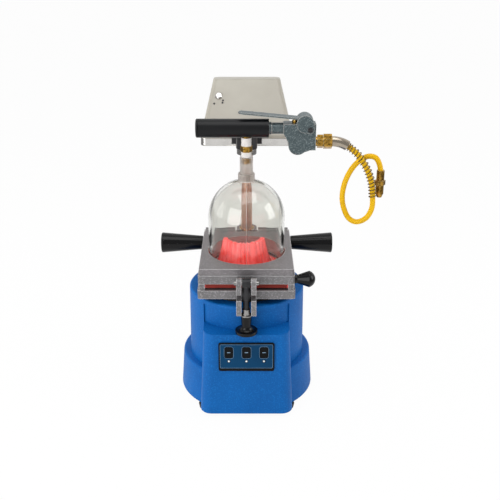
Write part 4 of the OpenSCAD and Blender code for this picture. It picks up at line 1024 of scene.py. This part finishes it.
@dataclass
class FormedSheet:
    """Plastic sheet in the clamp frame, drawn over a dental arch."""

    width: float = 127.0
    length: float = 137.0
    rear: float = 63.5
    corner: float = 5.0
    top: float = 204.5
    thickness: float = 4.4
    arch_x: float = -4.0
    arch_y: float = 28.0
    crest_r: float = 33.0
    half_sweep: float = 55.0
    crown: float = 3.2
    foot: float = 17.0
    tall: float = 37.5
    tooth: float = 6.6
    cell: float = 0.8
    beyond: float = 6.0
    flare: float = 3.0
    flute_crest: float = 0.9
    flute_crown: float = 1.4
    flute_foot: float = 0.7
    lobe_rise: float = 2.6
    lobe_foot: float = 2.5
    wall_power: float = 1.55
    lobe_power: float = 0.45
    body: str = "carriage"

    def height(self, x: float, y: float) -> float:
        """Height of the drawn sheet above its flat part.

        Args:
            x: place in X, in millimetres.
            y: place in Y, in millimetres.

        Returns:
            The height in millimetres.
        """
        px, py = x - self.arch_x, y - self.arch_y
        limit = math.radians(self.half_sweep)
        turn = min(max(math.atan2(px, -py), -limit), limit)
        off = math.hypot(px - self.crest_r * math.sin(turn), py + self.crest_r * math.cos(turn))
        if off >= self.foot + self.beyond:
            return 0.0
        outside = math.hypot(px, py) > self.crest_r
        lobe = abs(turn) / limit
        flute = math.cos(2 * math.pi * self.crest_r * (turn + 0.05 * math.sin(9 * turn)) / self.tooth)
        crest = self.tall + self.flute_crest * flute + self.lobe_rise * lobe ** 3
        crown = self.crown + (self.flute_crown * flute if outside else 0.0)
        foot = self.foot + self.lobe_foot * lobe ** 4 + (self.flute_foot * flute if outside else -1.0)
        fall = min(max((off - crown) / (foot - crown), 0.0), 1.0)
        wall = (1 - fall) ** (self.wall_power + self.lobe_power * lobe ** 4)
        flare = self.flare * max(0.0, 1 - off / (self.foot + self.beyond)) ** 1.5
        return max(crest * wall, flare)

    def build(self) -> None:
        """Makes the sheet from a fine grid that is raised into the arch and given its thickness."""
        bpy.ops.object.select_all(action="DESELECT")
        bpy.ops.mesh.primitive_grid_add(x_subdivisions=round(self.width / self.cell),
                                        y_subdivisions=round(self.length / self.cell), size=1.0)
        sheet = bpy.context.object
        sheet.name = "sheet_formed"
        inner = Vector((self.width / 2 - self.corner, self.length / 2 - self.corner))
        for vert in sheet.data.vertices:
            flat = Vector((vert.co.x * self.width, vert.co.y * self.length))
            past = Vector((max(abs(flat.x) - inner.x, 0.0), max(abs(flat.y) - inner.y, 0.0)))
            if past.length > self.corner:
                past *= self.corner / past.length
                flat = Vector((math.copysign(inner.x + past.x, flat.x), math.copysign(inner.y + past.y, flat.y)))
            flat.y += self.rear - self.length / 2
            vert.co = (flat.x, flat.y, self.top + self.height(flat.x, flat.y))
        soft = sheet.modifiers.new("soften", "LAPLACIANSMOOTH")
        soft.lambda_factor, soft.iterations, soft.lambda_border = 0.6, 4, 0.0
        thick = sheet.modifiers.new("thickness", "SOLIDIFY")
        thick.thickness = self.thickness
        thick.offset = -1.0
        apply_modifiers(sheet)
        Wear(self.body, CORAL_SHEET, "red_sheet").settle(sheet, "forming_sheet", smooth=50)
        # A thin strip over the sheet's front edge, painted dark red for the shade under the upper frame
        front = Matrix.Translation((0, self.rear - self.length - 0.12, self.top - self.thickness / 2))
        outline = rectangle(self.width - 2 * self.corner, self.thickness - 0.2, 0.3, 3)
        sawn = prism("sheet_edge_painted_shade", outline, 0.05, place=front @ ALONG_MINUS_Y)
        Wear(self.body, CORAL_EDGE_SHADED, "red_sheet").settle(sawn)


@dataclass
class Latch:
    """Swing bolt with its clamp knob and collar."""

    def build(self) -> None:
        """Makes the latch's pieces."""
        Wear("latch", BLACK_STEEL, "dark_steel").copy("swing_bolt", "bolt_blackened", 0.6, 2)
        Wear("clamp", PHENOLIC, "black_plastic").copy("clamp_knob", "clamp_knob_turned", 0.7)
        Wear("clamp", STEEL, "steel").copy("clamp_collar", "collar_turned", 0.4, 2)


@dataclass
class Bell:
    """Clear bell with its neck, nipple and wrapped threads."""

    radius: float = 56.7
    wall: float = 4.0
    rim_z: float = 206.0
    centre_z: float = 283.0
    hole: float = 6.6
    collar_r: float = 12.2
    collar_top: float = 349.7
    neck_r: float = 9.5
    neck_top: float = 373.7
    bore: float = 6.85
    body: str = "bell"

    def arc(self, radius: float, start: float, end: float, steps: int) -> Outline:
        """Points of the dome's section between two angles, in degrees above the level."""
        angles = [math.radians(start + (end - start) * k / steps) for k in range(steps + 1)]
        return [(radius * math.cos(a), self.centre_z + radius * math.sin(a)) for a in angles]

    def foot_z(self, r: float) -> float:
        """Height of the dome's outside at a radius."""
        return self.centre_z + math.sqrt(self.radius ** 2 - r ** 2) + 0.06

    def wrap(self, name: str, low: float, high: float, radius: float, turns: int) -> Object:
        """A threaded end wound with tape in uneven overlapping turns.

        Args:
            name: the piece's name.
            low: height of its lower end.
            high: height of its upper end.
            radius: radius of the winding.
            turns: overlaps along it.

        Returns:
            The new object.
        """
        outline = [(6.65, low)]
        step = (high - low) / turns
        for k in range(turns):
            swell = 0.12 * math.sin(2.3 * k) + 0.08 * math.sin(5.1 * k + 1)
            outline += [(radius - 0.28 + swell, low + step * (k + 0.02)), (radius + swell, low + step * (k + 0.3)),
                        (radius - 0.05 + swell, low + step * (k + 0.9))]
        return lathe(name, outline + [(6.65, high)], closed=True)

    def build(self) -> None:
        """Makes the bell's pieces."""
        inner = self.radius - self.wall
        top_out = math.degrees(math.acos(self.hole / self.radius))
        top_in = math.degrees(math.acos(self.hole / inner))
        outline = fillet([(self.radius, self.centre_z - 2, 0), (self.radius, self.rim_z, 0.8),
                          (inner, self.rim_z, 0.8), (inner, self.centre_z - 2, 0)], 4)
        dome = lathe("bell_shell", self.arc(self.radius, top_out, 0, 40) + outline + self.arc(inner, 0, top_in, 40),
                     steps=160, closed=True)
        clear = Wear(self.body, ACRYLIC, "clear_bell")
        clear.settle(dome, "bell_dome")
        line = [(self.radius, z) for z in range(216, 284, 4)] + self.arc(self.radius, 3, 66, 24)
        seam = loft("bell_seam", [[(-0.35, -r - 0.03, z), (-0.2, -r - 0.25, z), (0.2, -r - 0.25, z),
                                   (0.35, -r - 0.03, z)] for r, z in line])
        Wear(self.body, ACRYLIC_SEAM, "clear_bell").settle(seam, smooth=60)
        neck = Wear(self.body, ACRYLIC_NECK, "clear_bell")
        inside = self.neck_r + 0.06
        neck.settle(lathe("bell_collar", fillet(
            [(inside, self.foot_z(inside), 0), (self.collar_r, self.foot_z(self.collar_r), 0),
             (self.collar_r, self.collar_top, 1.2), (inside, self.collar_top, 0)], 5, True), closed=True),
            "neck_collar")
        neck.settle(lathe("bell_neck", fillet(
            [(self.bore, self.foot_z(self.bore), 0), (self.neck_r, self.foot_z(self.neck_r), 0),
             (self.neck_r, self.neck_top, 1.0), (self.bore, self.neck_top, 0.4)], 5, True), closed=True),
            "neck_tube")
        tape = join(self.wrap("tape_wound", 373.7, 381.7, 7.5, 5), self.wrap("tape_upper", 390.2, 402.2, 7.3, 7))
        Wear(self.body, PTFE_TAPE, "white_tape").settle(tape, "thread_tape")
        Wear(self.body, BRASS, "brass").copy("pipe_nipple", "nipple_turned", 0.5)
        paint_nodes(SILICONE, "rim_seal")


@dataclass
class ValveHandle:
    """Black grip bar with the cast air valve and its lever."""

    plunger_x: float = 69.0
    spring_low: float = 396.5
    spring_tall: float = 6.0
    spring_r: float = 3.3
    spring_wire: float = 0.5
    spring_turns: int = 5
    press: float = 1.4
    body: str = "bell"

    def spring(self) -> Object:
        """Winds the return spring under the plunger.

        Returns:
            The spring.
        """
        rise = self.spring_tall - 2 * self.spring_wire
        steps = self.spring_turns * 20
        coil = []
        for k in range(steps + 1):
            angle = 2 * math.pi * k / 20
            coil.append(Vector((self.plunger_x + self.spring_r * math.cos(angle), self.spring_r * math.sin(angle),
                                self.spring_low + self.spring_wire + rise * k / steps)))
        wound = wire("spring_wound", coil, self.spring_wire)
        only(wound)
        bpy.ops.object.convert(target="MESH")
        Wear(self.body, STEEL, "steel").settle(wound, "valve_spring")
        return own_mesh(wound)

    def build(self) -> None:
        """Makes the handle's pieces."""
        self.spring()
        bar = Wear(self.body, BLACK_ABS, "black_plastic")
        bar.copy("grip_bar", "bar_tube", 0.6)
        bar.copy("bar_cap", "bar_end_cap", 0.8)
        Wear(self.body, ZINC, "zinc").copy("valve_body", "valve_cast", 1.5, 4)
        Wear("lever", ZINC, "zinc").copy("valve_lever", "lever_pressed", 0.6)
        Wear("plunger", BRASS, "brass").copy("valve_plunger", "plunger_turned", 0.3, 2)
        Wear(self.body, BLACK_STEEL, "steel").copy("lever_pivot", "pivot_screw", 0.25, 2)


@dataclass
class Heater:
    """Pressed heater hood with a bright rim, on its swivel bracket."""

    width: float = 146.0
    depth: float = 142.0
    middle_y: float = 194.0
    rim_z: float = 357.0
    slope_z: float = 373.0
    top_z: float = 452.0
    side_in: float = 19.0
    end_in: float = 60.0
    corner: float = 8.0
    sheet: float = 2.0
    nut_at: tuple[float, float] = (-44.9, 165.0)
    screws_at: tuple[tuple[float, float], ...] = ((-52.2, 156.9), (-38.9, 157.8), (-38.1, 160.2))
    body: str = "heater"

    def ring(self, inset: float, z: float, proud: float = 0.0) -> list[Point]:
        """The hood's outline where its ends have come in by the inset.

        Args:
            inset: how far the front has come in.
            z: the height of the ring.
            proud: how far the ring stands out from the hood.

        Returns:
            The ring's points.
        """
        side = self.side_in * min(inset / self.end_in, 1.0) + max(inset - self.end_in, 0.0)
        outline = rectangle(self.width - 2 * side + 2 * proud, self.depth - 2 * inset + 2 * proud,
                            self.corner + proud, 8)
        return [(x, y + self.middle_y, z) for x, y in outline]

    def on_slope(self, x: float, y: float) -> Matrix:
        """A place on the hood's front slope, with Z out of it."""
        rise = (self.top_z - self.slope_z) / self.end_in
        z = self.slope_z + (y - self.middle_y + self.depth / 2) * rise
        return Matrix.Translation((x, y, z)) @ Matrix.Rotation(math.atan(rise), 4, "X")

    def build(self) -> None:
        """Makes the heater's pieces."""
        profile = fillet([(0, self.rim_z, 0), (0, self.slope_z, 9), (self.end_in, self.top_z, 4),
                          (self.end_in + 4, self.top_z, 0)], 6)
        hood = loft("hood_pressed", [self.ring(inset, z) for inset, z in profile], lid=True)
        skin = hood.modifiers.new("sheet", "SOLIDIFY")
        skin.thickness, skin.offset, skin.use_even_offset = self.sheet, -1.0, True
        ease(hood, 0.4, 2, 50)
        Wear(self.body, HOOD_ENAMEL, "hood_paint").settle(hood, "heater_hood", smooth=40)
        low, high = self.rim_z + 0.3, self.slope_z - 4
        hems = ((low, 0.02), (low + 0.3, 0.5), (low + 3, 0.5), (low + 3.6, 0.25), (high - 1, 0.25), (high, 0.02))
        band = loft("hood_rim_band", [self.ring(0, z, proud) for z, proud in hems])
        Wear(self.body, POLISHED_STEEL, "bright_steel").settle(band, smooth=40)
        nut = lathe("hood_cap_nut", fillet([(0, 3.4, 0), (4.6, 3.0, 2.0), (6.2, 0.9, 0.4), (6.2, 0, 0)], 5),
                    self.on_slope(*self.nut_at), 48)
        Wear(self.body, POLISHED_STEEL, "bright_steel").settle(nut)
        head = fillet([(0, 0.5, 0), (0.5, 0.5, 0), (0.9, 0.9, 0.2), (1.5, 0.7, 0.3), (1.6, 0, 0)], 3)
        for k, spot in enumerate(self.screws_at):
            screw = lathe(f"hood_screw_{k}", head, self.on_slope(*spot), 32)
            Wear(self.body, BLACK_STEEL, "dark_steel").settle(screw)
        Wear(self.body, BLACK_STEEL, "dark_steel").copy("hood_bracket", "bracket_welded", 0.8)
        paint_nodes(INCOLOY, "heating_element")
        paint_nodes(POLISHED_STEEL, "reflector")
        paint_nodes(CERAMIC, "element_insulators")


def main() -> None:
    """Builds the scene, sub-assembly by sub-assembly."""
    logging.basicConfig(level=logging.INFO, format="%(message)s")
    for part in (Stage(), AirHose(), BaseShell(), ControlPanel(), ClampFrame(), FormedSheet(), Latch(), Bell(),
                 ValveHandle(), Heater()):
        part.build()


if __name__ == "__main__":
    main()
